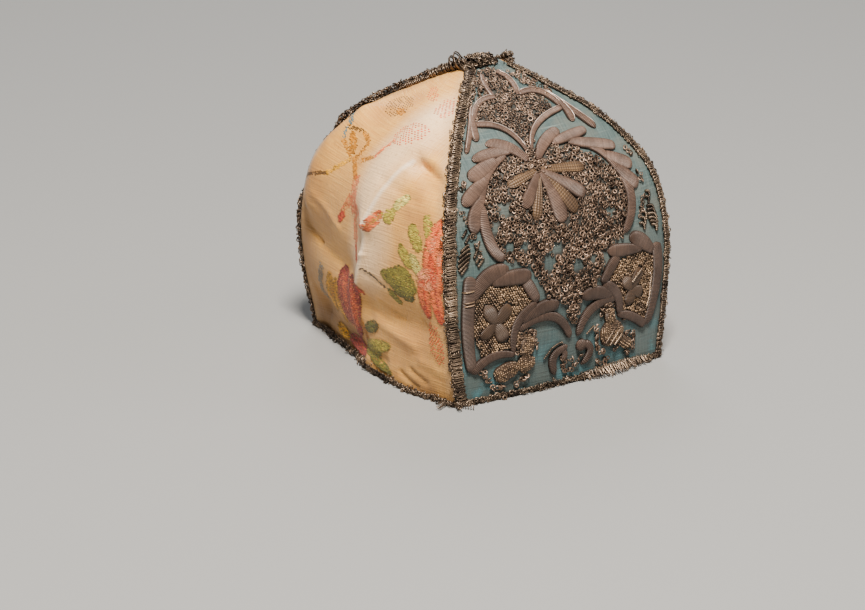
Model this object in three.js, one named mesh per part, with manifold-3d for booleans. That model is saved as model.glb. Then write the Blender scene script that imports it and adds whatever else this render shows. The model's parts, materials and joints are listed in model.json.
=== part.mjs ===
// A baby's close cap of four gores. Two are teal satin under padded metal embroidery, front and back,
// and two are cream brocade, at the sides. Metal lace covers the seams, the rim and the ridge at the crown.
// Millimetres, +Z up. The cap stands on its rim at Z = 0 and the front embroidered gore faces -Y.
import * as THREE from 'three';
import Module from 'manifold-3d';

const wasm = await Module();
wasm.setup();

// Thicknesses and clearances.
const WALL = 1.8; // silk with its stiffening
const SEAM_CLEAR = 0.2; // from each gore's cut edge to the seam line
const SEAT_CLEAR = 0.45; // from the cloth to a sewn-on piece

// Metal lace.
const LACE_WIDTHS = { left: 4.2, right: 2.6 }; // the right-hand strips are folded narrow
const LACE_THICK = 1.0;
const LACE_EDGE = 0.3; // from the seam line to the lace
const SEAM_LACE_TOP = 0.945; // share of the way up where the crown lace takes over
const RIM_LACE_FOOT = 0.3; // the rim lace stops this far above the table

// Padded embroidery.
const PAD_RISE = 1.7;
const PAD_SHOULDER = 0.72; // half-width and height of a pad's shoulder, as a share
const PAD_TOLERANCE = 0.12; // slivers left by joining pads are taken out below this size

// How finely the cloth is divided.
const ROWS = 14;
const TEAL_COLUMNS = 8;
const BROCADE_COLUMNS = 12;
const TEAL_TOP = 0.997; // share of the way up where the teal gores stop, at the ridge
const BROCADE_TOP = 0.97; // and where the brocade gores come to their points

// Level sections from the rim up. A section is a rectangle with bowed sides: half its width across the
// front, half its depth along the side, and how far the front and the side bow out of the straight.
const SECTIONS = [
  { height: 0.0, frontHalf: 46.0, sideHalf: 51.0, frontBow: 2.5, sideBow: 3.0 },
  { height: 24.5, frontHalf: 49.0, sideHalf: 50.0, frontBow: 6.0, sideBow: 4.5 },
  { height: 50.0, frontHalf: 50.0, sideHalf: 49.0, frontBow: 7.0, sideBow: 6.0 },
  { height: 74.0, frontHalf: 46.0, sideHalf: 43.5, frontBow: 4.5, sideBow: 7.0 },
  { height: 93.0, frontHalf: 33.5, sideHalf: 29.0, frontBow: 2.0, sideBow: 7.0 },
  { height: 103.5, frontHalf: 20.5, sideHalf: 15.0, frontBow: 1.0, sideBow: 3.0 },
  { height: 111.0, frontHalf: 7.0, sideHalf: 0.0, frontBow: 0.0, sideBow: 0.0 },
];

// The four seams by the signs of their corner. The worn cap stands off its regular form in places: out is
// how far, at is the share of the way up, span is how far that is felt.
const SEAMS = {
  nearLeft: { x: -1, y: -1, pushes: [] },
  nearRight: { x: 1, y: -1, pushes: [{ out: -2.2, at: 0.8, span: 0.12 }] },
  farRight: { x: 1, y: 1, pushes: [] },
  farLeft: {
    x: -1,
    y: 1,
    pushes: [
      { out: -4.0, at: 0.8, span: 0.18 },
      { out: -3.0, at: 0.0, span: 0.14 },
    ],
  },
};

// Folds and dents of the brocade, on the flat gore: along a line from one point to another, across and
// up from the middle of the rim. A dent has a negative rise.
const LEFT_FOLDS = [
  { from: [24, 88], to: [39, 81], rise: -2.4, spread: 3.5 },
  { from: [22, 94], to: [34, 89], rise: 1.6, spread: 5.0 },
  { from: [9, 62], to: [0, 36], rise: 1.8, spread: 4.0 },
  { from: [22, 88], to: [9, 62], rise: 1.2, spread: 4.5 },
  { from: [-48, 49], to: [-12, 40], rise: -2.4, spread: 8.0 },
  { from: [3, 27], to: [35, 29], rise: -2.0, spread: 6.5 },
  { from: [-38, 13], to: [-6, 10], rise: -1.8, spread: 6.0 },
  { from: [16, 102], to: [8, 70], rise: 3.2, spread: 9.0 },
  { from: [-39, 58], to: [-35, 70], rise: 4.6, spread: 8.0 },
  { from: [-30, 82], to: [-22, 94], rise: 4.6, spread: 8.0 },
  { from: [2, -2], to: [28, -2], rise: 4.4, spread: 13.0 },
  { from: [-46, 2], to: [-40, 12], rise: -3.0, spread: 9.0 },
];
const RIGHT_FOLDS = [
  { from: [-20, 78], to: [-10, 106], rise: -4.0, spread: 14.0 },
  { from: [-6, 62], to: [3, 36], rise: 1.6, spread: 4.0 },
  { from: [38, 13], to: [6, 10], rise: -1.8, spread: 6.0 },
  { from: [48, 49], to: [12, 40], rise: -2.0, spread: 8.0 },
  { from: [-30, 0], to: [-4, -2], rise: 3.0, spread: 13.0 },
  { from: [-8, 46], to: [6, 44], rise: 2.08, spread: 20.0 },
];
const RIM_STRAIGHT = 0.15; // share of the way up below which folds stand level, so the rim stays flat

// Stations along a pad: share of the way from root to tip, and of the width there, which rounds the ends.
const BENT_PAD = [
  { t: 0, share: 0.5 },
  { t: 0.18, share: 1 },
  { t: 0.5, share: 1 },
  { t: 0.82, share: 1 },
  { t: 1, share: 0.5 },
];
const STRAIGHT_PAD = BENT_PAD.filter((station) => station.t !== 0.5);
const PAD_BEND = 1.6; // a pad bent less than this takes the stations of a straight one

// Pads of a teal gore, on the flat: across from the middle line and up from the rim. Each runs from a root
// through a middle point to a tip, with its width at those three. Both halves are given, because the worn
// satin has pulled the design out of true.
const pad = (piece, side, root, middle, tip, widths) => ({ piece, side, root, middle, tip, widths });
const PADS = [
  pad('wreath', 'left', [-7.6, 88.2], [-13, 95], [-21.2, 98], [2.4, 5.2, 4.4]),
  pad('wreath', 'left', [-12.8, 93.4], [-21.5, 93.8], [-29.2, 92.2], [2.6, 4.8, 2.8]),
  pad('wreath', 'left', [-19.6, 91.2], [-28, 87.8], [-33.4, 84.8], [3, 5.8, 4.8]),
  pad('wreath', 'left', [-26.4, 84.6], [-33.3, 80.4], [-39.2, 75.6], [3, 5.2, 4.6]),
  pad('wreath', 'left', [-31.4, 77.2], [-36.2, 71.2], [-36.8, 65], [3, 5.2, 4.6]),
  pad('wreath', 'left', [-15.5, 92.4], [-26.5, 85.2], [-32.6, 74.5], [2.2, 3, 2.8]),
  pad('wreath', 'left', [-32.6, 75.5], [-32.2, 61.6], [-27, 54.4], [3.4, 4.6, 3.6]),
  pad('wreath', 'right', [-3.4, 88.2], [3, 94.8], [11.6, 98.4], [2.4, 4.8, 3.8]),
  pad('wreath', 'right', [5.6, 93.6], [15, 95], [23.2, 96], [2.8, 4.6, 3]),
  pad('wreath', 'right', [12.6, 92.8], [23, 89.6], [32.8, 86.6], [3, 5, 3.8]),
  pad('wreath', 'right', [25, 84.8], [31.5, 81], [37, 77.4], [3, 5.4, 4.4]),
  pad('wreath', 'right', [28.6, 79.2], [33, 74], [37.4, 69.6], [3, 5.6, 4.8]),
  pad('wreath', 'right', [14, 91.6], [24, 86.6], [29.6, 76.4], [2.2, 3, 2.8]),
  pad('wreath', 'right', [29.6, 77], [32.4, 65], [26.8, 54.2], [3, 4.4, 3.2]),
  pad('scroll', 'left', [-41, 50], [-42.3, 31], [-40, 12.6], [5.2, 5, 4.2]),
  pad('scroll', 'left', [-40.2, 12.2], [-32, 17.8], [-22.6, 16.8], [3.6, 3.6, 2]),
  pad('scroll', 'left', [-41, 40.4], [-34.8, 48.6], [-25.6, 50.8], [2.8, 6.2, 4]),
  pad('scroll', 'left', [-33.4, 46.4], [-24.4, 47.4], [-16.6, 46.8], [2.8, 6, 5]),
  pad('scroll', 'left', [-19.6, 45.6], [-17, 41.2], [-14, 36.2], [4.4, 4.6, 3]),
  pad('scroll', 'left', [-14.4, 36.2], [-22.6, 29.2], [-23.4, 17.4], [3, 3.6, 1.8]),
  pad('scroll', 'left', [-22.2, 26.2], [-8, 29.6], [1.2, 18.8], [2.4, 3.8, 2.6]),
  pad('scroll', 'left', [-21, 29.4], [-12, 33.8], [-4.6, 33], [2.4, 5.4, 3.6]),
  pad('scroll', 'right', [43, 46.6], [44, 32], [38.6, 15], [5.4, 5, 3.6]),
  pad('scroll', 'right', [38.4, 15], [30.6, 20.8], [23.4, 23.2], [3.4, 3.8, 2.4]),
  pad('scroll', 'right', [41.8, 43.6], [35, 49.6], [29.6, 51.4], [3, 6.2, 4.2]),
  pad('scroll', 'right', [35.6, 46.6], [26.8, 48], [18.2, 49.2], [2.4, 4.8, 5]),
  pad('scroll', 'right', [23.2, 47.2], [18.4, 42], [15.4, 37.4], [4, 4.4, 3]),
  pad('scroll', 'right', [15.8, 37.2], [22.6, 31.6], [24.3, 22.8], [4, 4.2, 2.6]),
  pad('scroll', 'right', [22.4, 30.2], [10.4, 28.6], [4.6, 18.8], [2.6, 4, 2.6]),
  pad('scroll', 'right', [20.6, 31.4], [12.4, 34.6], [5.4, 34], [2.4, 5.6, 3.4]),
  pad('curl', 'left', [0.4, 15.8], [-5.8, 12.6], [-4.2, 4.8], [2.2, 3.4, 2.6]),
  pad('curl', 'left', [-2.4, 14.8], [-0.9, 12.6], [-2, 9.8], [2.2, 2.6, 2]),
  pad('curl', 'right', [8, 15.6], [11, 11.4], [7.4, 6.4], [3, 3.2, 2.2]),
  pad('curl', 'right', [4.8, 16.2], [6.8, 14.6], [8.6, 12.6], [4, 4.8, 3.6]),
  pad('crest', 'left', [-6.2, 92.4], [-11, 103], [-21.4, 106.9], [1.6, 2.4, 3.2]),
  pad('crest', 'left', [-5.6, 117.8], [-13.8, 116.4], [-20.2, 109.2], [2.4, 2.6, 2.4]),
  pad('crest', 'left', [-17.6, 115], [-22.9, 106.8], [-30.2, 95.6], [2, 2.2, 2]),
  pad('crest', 'left', [-19.8, 112], [-22.4, 105.8], [-24, 99.8], [2.2, 3.2, 3.4]),
  pad('crest', 'left', [-4.8, 130], [-6.8, 124.4], [-6.4, 117.6], [1.8, 2.2, 2.2]),
  pad('crest', 'right', [-3.9, 92.8], [3.6, 102.4], [18.4, 107], [1.6, 2.6, 2.6]),
  pad('crest', 'right', [4.8, 117.2], [13.6, 116], [18.2, 107.4], [2.8, 3, 2.4]),
  pad('crest', 'right', [15.4, 116], [20.4, 107], [28, 95.6], [2.2, 2.8, 3.2]),
  pad('crest', 'right', [18, 112], [19.4, 106], [19.4, 100.2], [2.2, 3, 4]),
  pad('crest', 'right', [1.6, 130], [4.6, 124.4], [4.2, 117], [1.8, 2.6, 2.4]),
  pad('flower', 'left', [-30.8, 30.4], [-33.4, 34.6], [-35.2, 38.4], [2.2, 5.4, 4.6]),
  pad('flower', 'left', [-31.2, 30.4], [-28.2, 34.2], [-26.2, 37.6], [2.2, 5.2, 4.6]),
  pad('flower', 'left', [-31.2, 31.2], [-29, 26.8], [-27.4, 23], [2.2, 5.6, 4.4]),
  pad('flower', 'left', [-30.8, 31.2], [-34, 28.2], [-36.8, 25.2], [2, 4.4, 4.2]),
  pad('flower', 'right', [30.5, 31.6], [27.9, 34.8], [26, 37.6], [2.2, 5.2, 4.4]),
  pad('flower', 'right', [29.9, 31.6], [32.5, 35.7], [34.8, 39.4], [2.2, 4.8, 4]),
  pad('flower', 'right', [29.8, 32.3], [33.3, 30.3], [36.4, 28.8], [2.2, 5, 4]),
  pad('flower', 'right', [30.4, 32.4], [29.5, 28.8], [28.6, 25.4], [2.2, 5.2, 4]),
  pad('bud', 'left', [-31, 9.2], [-26, 10.8], [-20.6, 12.2], [5.4, 7.2, 6.6]),
  pad('bud', 'left', [-21.4, 12.2], [-17.6, 12.6], [-13.8, 12.8], [6.6, 7.6, 6]),
  pad('bud', 'left', [-18.2, 15.4], [-18, 20.2], [-17.8, 24.4], [5, 6.6, 5.2]),
  pad('bud', 'right', [15.6, 17], [21.2, 16.4], [27, 15.4], [8, 11, 8]),
  pad('bud', 'right', [20, 20.6], [19.5, 24], [18.6, 27.2], [4, 5, 4]),
  pad('bud', 'right', [24.6, 13.6], [28, 11], [31.2, 8.6], [4, 4.6, 3.6]),
];

// The fan hangs from a hub under the crest, its petals at these angles from straight down.
const FAN_HUB = [-5, 84.5];
const FAN_ROOT = 1;
const FAN = [
  { angle: -75, length: 15.2, rootWidth: 2.6, tipWidth: 4.8 },
  { angle: -39.5, length: 17, rootWidth: 2, tipWidth: 6 },
  { angle: -21.5, length: 19.5, rootWidth: 1.8, tipWidth: 5.2 },
  { angle: 12, length: 21.4, rootWidth: 2.2, tipWidth: 7.8 },
  { angle: 32, length: 21.4, rootWidth: 2, tipWidth: 6.8 },
  { angle: 52.5, length: 21, rootWidth: 2.2, tipWidth: 6.6 },
  { angle: 83, length: 20.4, rootWidth: 2.6, tipWidth: 5.2 },
];

// Rim lace of each gore: how far it leaves each end free, and its height at either end.
const RIM_LACE = [
  { gore: 'front', endClear: 5.2, leftHeight: 3.4, rightHeight: 4.0 },
  { gore: 'left', endClear: 0.5, leftHeight: 3.6, rightHeight: 3.8 },
  { gore: 'back', endClear: 5.2, leftHeight: 3.4, rightHeight: 4.0 },
  { gore: 'right', endClear: 0.5, leftHeight: 3.6, rightHeight: 3.8 },
];

// Lace mounds along the ridge of the crown, and their stations: along the ridge, half-width, thickness.
const CROWN_LACE = [
  { along: -9.6, half: 1.4, thick: 1.0 },
  { along: -7.0, half: 3.0, thick: 1.6 },
  { along: -3.0, half: 3.6, thick: 1.7 },
  { along: 1.0, half: 3.6, thick: 1.7 },
  { along: 4.6, half: 3.0, thick: 1.5 },
];
const CROWN_TUFT = [
  { along: 7.6, half: 2.0, thick: 1.8 },
  { along: 9.6, half: 3.2, thick: 3.8 },
  { along: 12.0, half: 3.0, thick: 4.2 },
  { along: 14.6, half: 1.2, thick: 2.2 },
];
const CROWN_CLEAR = 0.6;

const MATERIALS = {
  teal: new THREE.MeshStandardMaterial({ color: 0x1f5e78, roughness: 0.5, metalness: 0.0 }),
  brocade: new THREE.MeshStandardMaterial({ color: 0xc2aa84, roughness: 0.6, metalness: 0.0 }),
  lace: new THREE.MeshStandardMaterial({ color: 0x6b5a40, roughness: 0.5, metalness: 0.7 }),
  thread: new THREE.MeshStandardMaterial({ color: 0x8c7668, roughness: 0.5, metalness: 0.6 }),
};

const halves = new THREE.CatmullRomCurve3(
  SECTIONS.map((row) => new THREE.Vector3(row.frontHalf, row.sideHalf, row.height)),
  false,
  'catmullrom',
);
const bows = new THREE.CatmullRomCurve3(
  SECTIONS.map((row) => new THREE.Vector3(row.frontBow, row.sideBow, 0)),
  false,
  'catmullrom',
);

// A point of a seam, by the share of the way up.
function seamPoint(seam, up) {
  const half = halves.getPoint(up);
  const corner = new THREE.Vector3(seam.x * half.x, seam.y * half.y, half.z);
  const outward = new THREE.Vector3(corner.x, corner.y, 0).normalize();
  for (const { out, at, span } of seam.pushes) {
    corner.addScaledVector(outward, out * Math.exp(-(((up - at) / span) ** 2)));
  }
  return corner;
}

function foldHeight(folds, across, up) {
  const here = new THREE.Vector3(across, up, 0);
  const nearest = new THREE.Vector3();
  let height = 0;
  for (const { from, to, rise, spread } of folds) {
    const line = new THREE.Line3(new THREE.Vector3(...from, 0), new THREE.Vector3(...to, 0));
    line.closestPointToPoint(here, true, nearest);
    height += rise * Math.exp(-((here.distanceTo(nearest) / spread) ** 2));
  }
  return height;
}

// One gore between two seams, left and right as seen from outside. Its surface is read at an across
// share from -1 to 1 and an up share from 0 to 1, or on the flat in millimetres.
class Gore {
  constructor(left, right, bowAxis, top, folds) {
    Object.assign(this, { left, right, bowAxis, top, folds });
    this.folded = folds.length > 0;
    this.flat = [];
    let length = 0;
    const steps = 4 * ROWS;
    for (let i = 0; i <= steps; i++) {
      const up = (top * i) / steps;
      if (i > 0) length += this.smooth(0, up).distanceTo(this.smooth(0, this.flat[i - 1].up));
      this.flat.push({ up, length, half: this.halfArc(up) });
    }
  }

  smooth(across, up) {
    const a = seamPoint(this.left, up);
    const b = seamPoint(this.right, up);
    const chord = b.clone().sub(a);
    const outward = new THREE.Vector3(chord.y, -chord.x, 0).normalize();
    const bow = bows.getPoint(up)[this.bowAxis] * (1 - across * across);
    return a.addScaledVector(chord, (1 + across) / 2).addScaledVector(outward, bow);
  }

  halfArc(up) {
    const steps = 8;
    let length = 0;
    for (let i = -steps; i < steps; i++) {
      length += this.smooth(i / steps, up).distanceTo(this.smooth((i + 1) / steps, up));
    }
    return length / 2;
  }

  normal(across, up) {
    const step = 0.004;
    const low = Math.max(0, Math.min(up, this.top - step));
    const right = this.smooth(across + step, up).sub(this.smooth(across - step, up));
    const rise = this.smooth(across, low + step).sub(this.smooth(across, low));
    return right.cross(rise).normalize();
  }

  // The row of the flat table at a length up the middle line, or at an up share.
  flatAt(key, value) {
    const i = Math.max(1, this.flat.findIndex((row) => row[key] >= value));
    const a = this.flat[i - 1];
    const b = this.flat[i];
    const share = (value - a[key]) / (b[key] - a[key]);
    const mix = (name) => a[name] + share * (b[name] - a[name]);
    return { up: mix('up'), length: mix('length'), half: mix('half') };
  }

  surface(across, up) {
    const point = this.smooth(across, up);
    if (!this.folded) return point;
    const { length, half } = this.flatAt('up', up);
    const outward = this.normal(across, up);
    outward.z *= Math.min(1, up / RIM_STRAIGHT);
    return point.addScaledVector(outward, (1 - across ** 6) * foldHeight(this.folds, across * half, length));
  }

  // From the flat, in millimetres across, up and off the cloth, into space.
  lay(acrossMm, upMm, off) {
    const { up, half } = this.flatAt('length', upMm);
    const across = acrossMm / half;
    return this.surface(across, up).addScaledVector(this.normal(across, up), off);
  }
}

// A mesh from rings of points: each ring runs anticlockwise seen along the way the rings follow.
function loft(rings) {
  const size = rings[0].length;
  const positions = rings.flat().flatMap((p) => [p.x, p.y, p.z]);
  const triangles = [];
  const last = (rings.length - 1) * size;
  for (let j = 2; j < size; j++) {
    triangles.push(0, j - 1, j, last, last + j, last + j - 1);
  }
  for (let i = 0; i < last; i += size) {
    for (let j = 0; j < size; j++) {
      const a = i + j;
      const b = i + ((j + 1) % size);
      triangles.push(b, a, a + size, b, a + size, b + size);
    }
  }
  return { positions, triangles };
}

function addMesh(group, name, { positions, triangles }, material) {
  const geometry = new THREE.BufferGeometry();
  geometry.setAttribute('position', new THREE.Float32BufferAttribute(positions, 3));
  geometry.setIndex(Array.from(triangles));
  geometry.computeVertexNormals();
  const mesh = new THREE.Mesh(geometry, material);
  mesh.name = name;
  group.add(mesh);
}

// The wall of a gore: its outer face, its inner face a wall's thickness in, and the cut edges. The
// inner face follows the mitre of the seam at both sides, and hangs straight down at the ridge.
function goreWall(gore, columns) {
  const outer = [];
  const inner = [];
  for (let r = 0; r <= ROWS; r++) {
    const up = r < ROWS ? r / ROWS : gore.top;
    const { half } = gore.flatAt('up', up);
    const limit = 1 - SEAM_CLEAR / half;
    for (let c = 0; c <= columns; c++) {
      const across = limit * (-1 + (2 * c) / columns);
      const normal = gore.normal(across, up);
      let inward = normal.clone();
      if (c === 0 || c === columns) {
        const neighbour = c === 0 ? gore.leftGore : gore.rightGore;
        inward.add(neighbour.normal(c === 0 ? 1 : -1, Math.min(up, neighbour.top)));
      }
      if (r === ROWS && !gore.folded) inward.set(0, 0, 1);
      if (r === 0) inward.z = 0;
      inward.normalize();
      inward.multiplyScalar(-WALL / inward.dot(normal));
      const point = gore.surface(across, up);
      outer.push(point);
      inner.push(point.clone().add(inward));
    }
  }
  const width = columns + 1;
  const shift = outer.length;
  const triangles = [];
  for (let r = 0; r < ROWS; r++) {
    for (let c = 0; c < columns; c++) {
      const a = r * width + c;
      const b = a + width;
      triangles.push(a, a + 1, b + 1, a, b + 1, b);
      triangles.push(shift + a, shift + b + 1, shift + a + 1, shift + a, shift + b, shift + b + 1);
    }
  }
  const edge = (a, b) => triangles.push(a, b, shift + b, a, shift + b, shift + a);
  for (let c = 0; c < columns; c++) {
    edge(c + 1, c);
    edge(ROWS * width + c, ROWS * width + c + 1);
  }
  for (let r = 0; r < ROWS; r++) {
    edge(r * width, (r + 1) * width);
    edge((r + 1) * width + columns, r * width + columns);
  }
  const positions = [...outer, ...inner].flatMap((p) => [p.x, p.y, p.z]);
  return { positions, triangles };
}

// Seam lace on a teal gore, along its right side (1) or its left (-1).
function seamLace(gore, side, width) {
  const rings = [];
  for (let r = 0; r <= ROWS; r++) {
    const up = Math.min(Math.max(r / ROWS, 0.003), SEAM_LACE_TOP);
    if (r > 0 && r / ROWS > SEAM_LACE_TOP + 1 / ROWS) break;
    const { half } = gore.flatAt('up', up);
    const near = (side * (half - LACE_EDGE)) / half;
    const far = (side * (half - LACE_EDGE - width)) / half;
    const [low, high] = side > 0 ? [far, near] : [near, far];
    const at = (across, off) =>
      gore.smooth(across, up).addScaledVector(gore.normal(across, up), off);
    const top = SEAT_CLEAR + LACE_THICK;
    rings.push([
      at(low, SEAT_CLEAR),
      at(high, SEAT_CLEAR),
      at(high, top - 0.3),
      at((low + high) / 2, top),
      at(low, top - 0.3),
    ]);
  }
  return loft(rings);
}

// Rim lace along the foot of a gore, from its left end to its right.
function rimLace(gore, row, columns) {
  const half = gore.flat[0].half - row.endClear;
  const rings = [];
  for (let c = 0; c <= columns; c++) {
    const share = c / columns;
    const across = half * (2 * share - 1);
    const height = row.leftHeight + share * (row.rightHeight - row.leftHeight);
    const top = SEAT_CLEAR + LACE_THICK;
    rings.push([
      gore.lay(across, height, SEAT_CLEAR),
      gore.lay(across, RIM_LACE_FOOT, SEAT_CLEAR),
      gore.lay(across, RIM_LACE_FOOT, top),
      gore.lay(across, height, top),
    ]);
  }
  return loft(rings);
}

// Height of the crown over a point near the ridge: the lower of the teal and the brocade slopes.
function crownHeight(x, y) {
  const steps = 80;
  let teal = 0;
  let brocade = 0;
  for (let i = 0; i <= steps; i++) {
    const up = 0.7 + (0.3 * i) / steps;
    const half = halves.getPoint(up);
    const bow = bows.getPoint(up);
    if (half.y + bow.x >= Math.abs(y)) teal = half.z;
    if (half.x + bow.y >= Math.abs(x)) brocade = half.z;
  }
  return Math.min(teal, brocade);
}

function crownMound(stations) {
  const rings = stations.map(({ along, half, thick }) => {
    const at = (y, off) => new THREE.Vector3(along, y, crownHeight(along, y) + CROWN_CLEAR + off);
    return [
      at(half, 0),
      at(0, 0),
      at(-half, 0),
      at(-half, 0.6 * thick),
      at(0, thick),
      at(half, 0.6 * thick),
    ];
  });
  return loft(rings);
}

// One pad on the flat as a solid: a domed ring of five points carried along its bent middle line.
function padSolid({ root, middle, tip, widths }) {
  const from = new THREE.Vector2(...root);
  const to = new THREE.Vector2(...tip);
  const pull = new THREE.Vector2(...middle).multiplyScalar(2);
  pull.addScaledVector(from, -0.5).addScaledVector(to, -0.5);
  const line = new THREE.QuadraticBezierCurve(from, pull, to);
  const bend = line.getPoint(0.5).distanceTo(from.clone().lerp(to, 0.5));
  const stations = bend < PAD_BEND ? STRAIGHT_PAD : BENT_PAD;
  const rings = stations.map(({ t, share }) => {
    const centre = line.getPoint(t);
    const along = line.getTangent(t);
    const [a, b, c] = widths;
    const width = a * (1 - t) * (1 - 2 * t) + 4 * b * t * (1 - t) + c * t * (2 * t - 1);
    const half = (share * width) / 2;
    const rise = PAD_RISE * (0.55 + 0.45 * share);
    const at = (offset, height) =>
      new THREE.Vector3(centre.x + along.y * offset, centre.y - along.x * offset, SEAT_CLEAR + height);
    return [
      at(-half, 0),
      at(half, 0),
      at(PAD_SHOULDER * half, PAD_SHOULDER * rise),
      at(0, rise),
      at(-PAD_SHOULDER * half, PAD_SHOULDER * rise),
    ];
  });
  const { positions, triangles } = loft(rings);
  return new wasm.Manifold(
    new wasm.Mesh({
      numProp: 3,
      vertProperties: new Float32Array(positions),
      triVerts: new Uint32Array(triangles),
    }),
  );
}

// Pads joined into one piece on the flat, then laid on the gore.
function layPads(gore, solids) {
  const joined = solids.reduce((a, b) => a.add(b)).simplify(PAD_TOLERANCE).getMesh();
  const positions = [];
  for (let i = 0; i < joined.vertProperties.length; i += joined.numProp) {
    const [across, up, off] = joined.vertProperties.subarray(i, i + 3);
    const point = gore.lay(across, up, off);
    positions.push(point.x, point.y, point.z);
  }
  return { positions, triangles: joined.triVerts };
}

function fanSolids() {
  return FAN.map(({ angle, length, rootWidth, tipWidth }) => {
    const turn = THREE.MathUtils.degToRad(angle);
    const at = (r) => [FAN_HUB[0] + r * Math.sin(turn), FAN_HUB[1] - r * Math.cos(turn)];
    return padSolid({
      root: at(FAN_ROOT),
      middle: at((FAN_ROOT + length) / 2),
      tip: at(length),
      widths: [rootWidth, 0.52 * (rootWidth + tipWidth), tipWidth],
    });
  });
}

const gores = {
  front: new Gore(SEAMS.nearLeft, SEAMS.nearRight, 'x', TEAL_TOP, []),
  right: new Gore(SEAMS.nearRight, SEAMS.farRight, 'y', BROCADE_TOP, RIGHT_FOLDS),
  back: new Gore(SEAMS.farRight, SEAMS.farLeft, 'x', TEAL_TOP, []),
  left: new Gore(SEAMS.farLeft, SEAMS.nearLeft, 'y', BROCADE_TOP, LEFT_FOLDS),
};
const around = ['front', 'right', 'back', 'left'];
around.forEach((name, i) => {
  gores[name].rightGore = gores[around[(i + 1) % around.length]];
  gores[name].leftGore = gores[around[(i + around.length - 1) % around.length]];
});

const bonnet = new THREE.Group();
bonnet.name = 'baby_bonnet';

for (const name of around) {
  const gore = gores[name];
  const columns = gore.folded ? BROCADE_COLUMNS : TEAL_COLUMNS;
  addMesh(bonnet, `gore_${name}`, goreWall(gore, columns), gore.folded ? MATERIALS.brocade : MATERIALS.teal);
  const row = RIM_LACE.find((each) => each.gore === name);
  addMesh(bonnet, `rim_lace_${name}`, rimLace(gore, row, columns), MATERIALS.lace);
}

for (const name of ['front', 'back']) {
  const gore = gores[name];
  for (const [side, word] of [[1, 'right'], [-1, 'left']]) {
    addMesh(bonnet, `seam_lace_${name}_${word}`, seamLace(gore, side, LACE_WIDTHS[word]), MATERIALS.lace);
    for (const piece of ['crest', 'wreath', 'scroll', 'flower', 'curl', 'bud']) {
      const solids = PADS.filter((row) => row.piece === piece && row.side === word).map(padSolid);
      addMesh(bonnet, `${piece}_${name}_${word}`, layPads(gore, solids), MATERIALS.thread);
    }
  }
  addMesh(bonnet, `fan_${name}`, layPads(gore, fanSolids()), MATERIALS.thread);
}

addMesh(bonnet, 'crown_lace', crownMound(CROWN_LACE), MATERIALS.lace);
addMesh(bonnet, 'crown_tuft', crownMound(CROWN_TUFT), MATERIALS.lace);

export default bonnet;
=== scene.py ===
# %% [markdown]
# # A baby's cap of four gores
# The cap is sewn from four tapering pieces of silk, called gores. Two are teal satin under heavy metal
# embroidery and two are cream brocade. Tarnished metal lace hides the seams and the rim. This lesson
# dresses the plain solids of the cap in cloth, thread and wire. Sizes are in millimetres, and metres at
# the end.

# %% Load the frame
import json

import bpy
import numpy as np
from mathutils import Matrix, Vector

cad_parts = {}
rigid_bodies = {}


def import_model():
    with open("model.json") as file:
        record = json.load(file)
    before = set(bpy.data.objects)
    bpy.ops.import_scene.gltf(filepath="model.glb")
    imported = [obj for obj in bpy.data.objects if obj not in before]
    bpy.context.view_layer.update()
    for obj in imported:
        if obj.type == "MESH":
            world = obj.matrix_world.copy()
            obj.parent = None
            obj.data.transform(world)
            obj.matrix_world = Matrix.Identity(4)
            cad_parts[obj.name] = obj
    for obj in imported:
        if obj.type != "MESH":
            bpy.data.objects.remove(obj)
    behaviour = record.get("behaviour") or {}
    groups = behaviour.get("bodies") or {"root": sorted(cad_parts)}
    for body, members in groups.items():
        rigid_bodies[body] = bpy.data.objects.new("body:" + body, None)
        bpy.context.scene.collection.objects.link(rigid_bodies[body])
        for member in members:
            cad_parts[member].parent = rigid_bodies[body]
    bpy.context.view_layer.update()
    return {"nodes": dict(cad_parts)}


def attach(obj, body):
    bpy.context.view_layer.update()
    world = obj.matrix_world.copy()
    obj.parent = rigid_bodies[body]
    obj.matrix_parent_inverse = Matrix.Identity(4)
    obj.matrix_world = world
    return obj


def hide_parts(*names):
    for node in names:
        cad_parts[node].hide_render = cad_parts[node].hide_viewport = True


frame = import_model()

MM = 0.001
chance = np.random.default_rng(11)
print(len(frame["nodes"]), "solids to dress")

# %% [markdown]
# ## The curved surface
# Every piece lies on the same four curved gores, so their surface comes first. Each level section is a
# rectangle with bowed sides, and a smooth curve runs through the sections. A gore can be read in two ways:
# by shares across and up, or on the flat in millimetres, as a pattern cutter would lay it on a table. The
# surface could be modelled by hand, but thousands of stitches have to be laid on it by their place on the
# flat, so it is worked out by formula.

# %% Sections and seams
HEIGHT, FRONT_HALF, SIDE_HALF, FRONT_BOW, SIDE_BOW = range(5)
SECTIONS = np.array([
    # height, front half, side half, front bow, side bow
    (0.0, 46.0, 51.0, 2.5, 3.0),
    (24.5, 49.0, 50.0, 6.0, 4.5),
    (50.0, 50.0, 49.0, 7.0, 6.0),
    (74.0, 46.0, 43.5, 4.5, 7.0),
    (93.0, 33.5, 29.0, 2.0, 7.0),
    (103.5, 20.5, 15.0, 1.0, 3.0),
    (111.0, 7.0, 0.0, 0.0, 0.0),
])
SEAMS = {
    # sign of x, sign of y, then pushes out or in: how far, share of the way up, span
    "near_left": (-1, -1, []),
    "near_right": (1, -1, [(-2.2, 0.80, 0.12)]),
    "far_right": (1, 1, []),
    "far_left": (-1, 1, [(-4.0, 0.80, 0.18), (-3.0, 0.0, 0.14)]),
}


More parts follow.
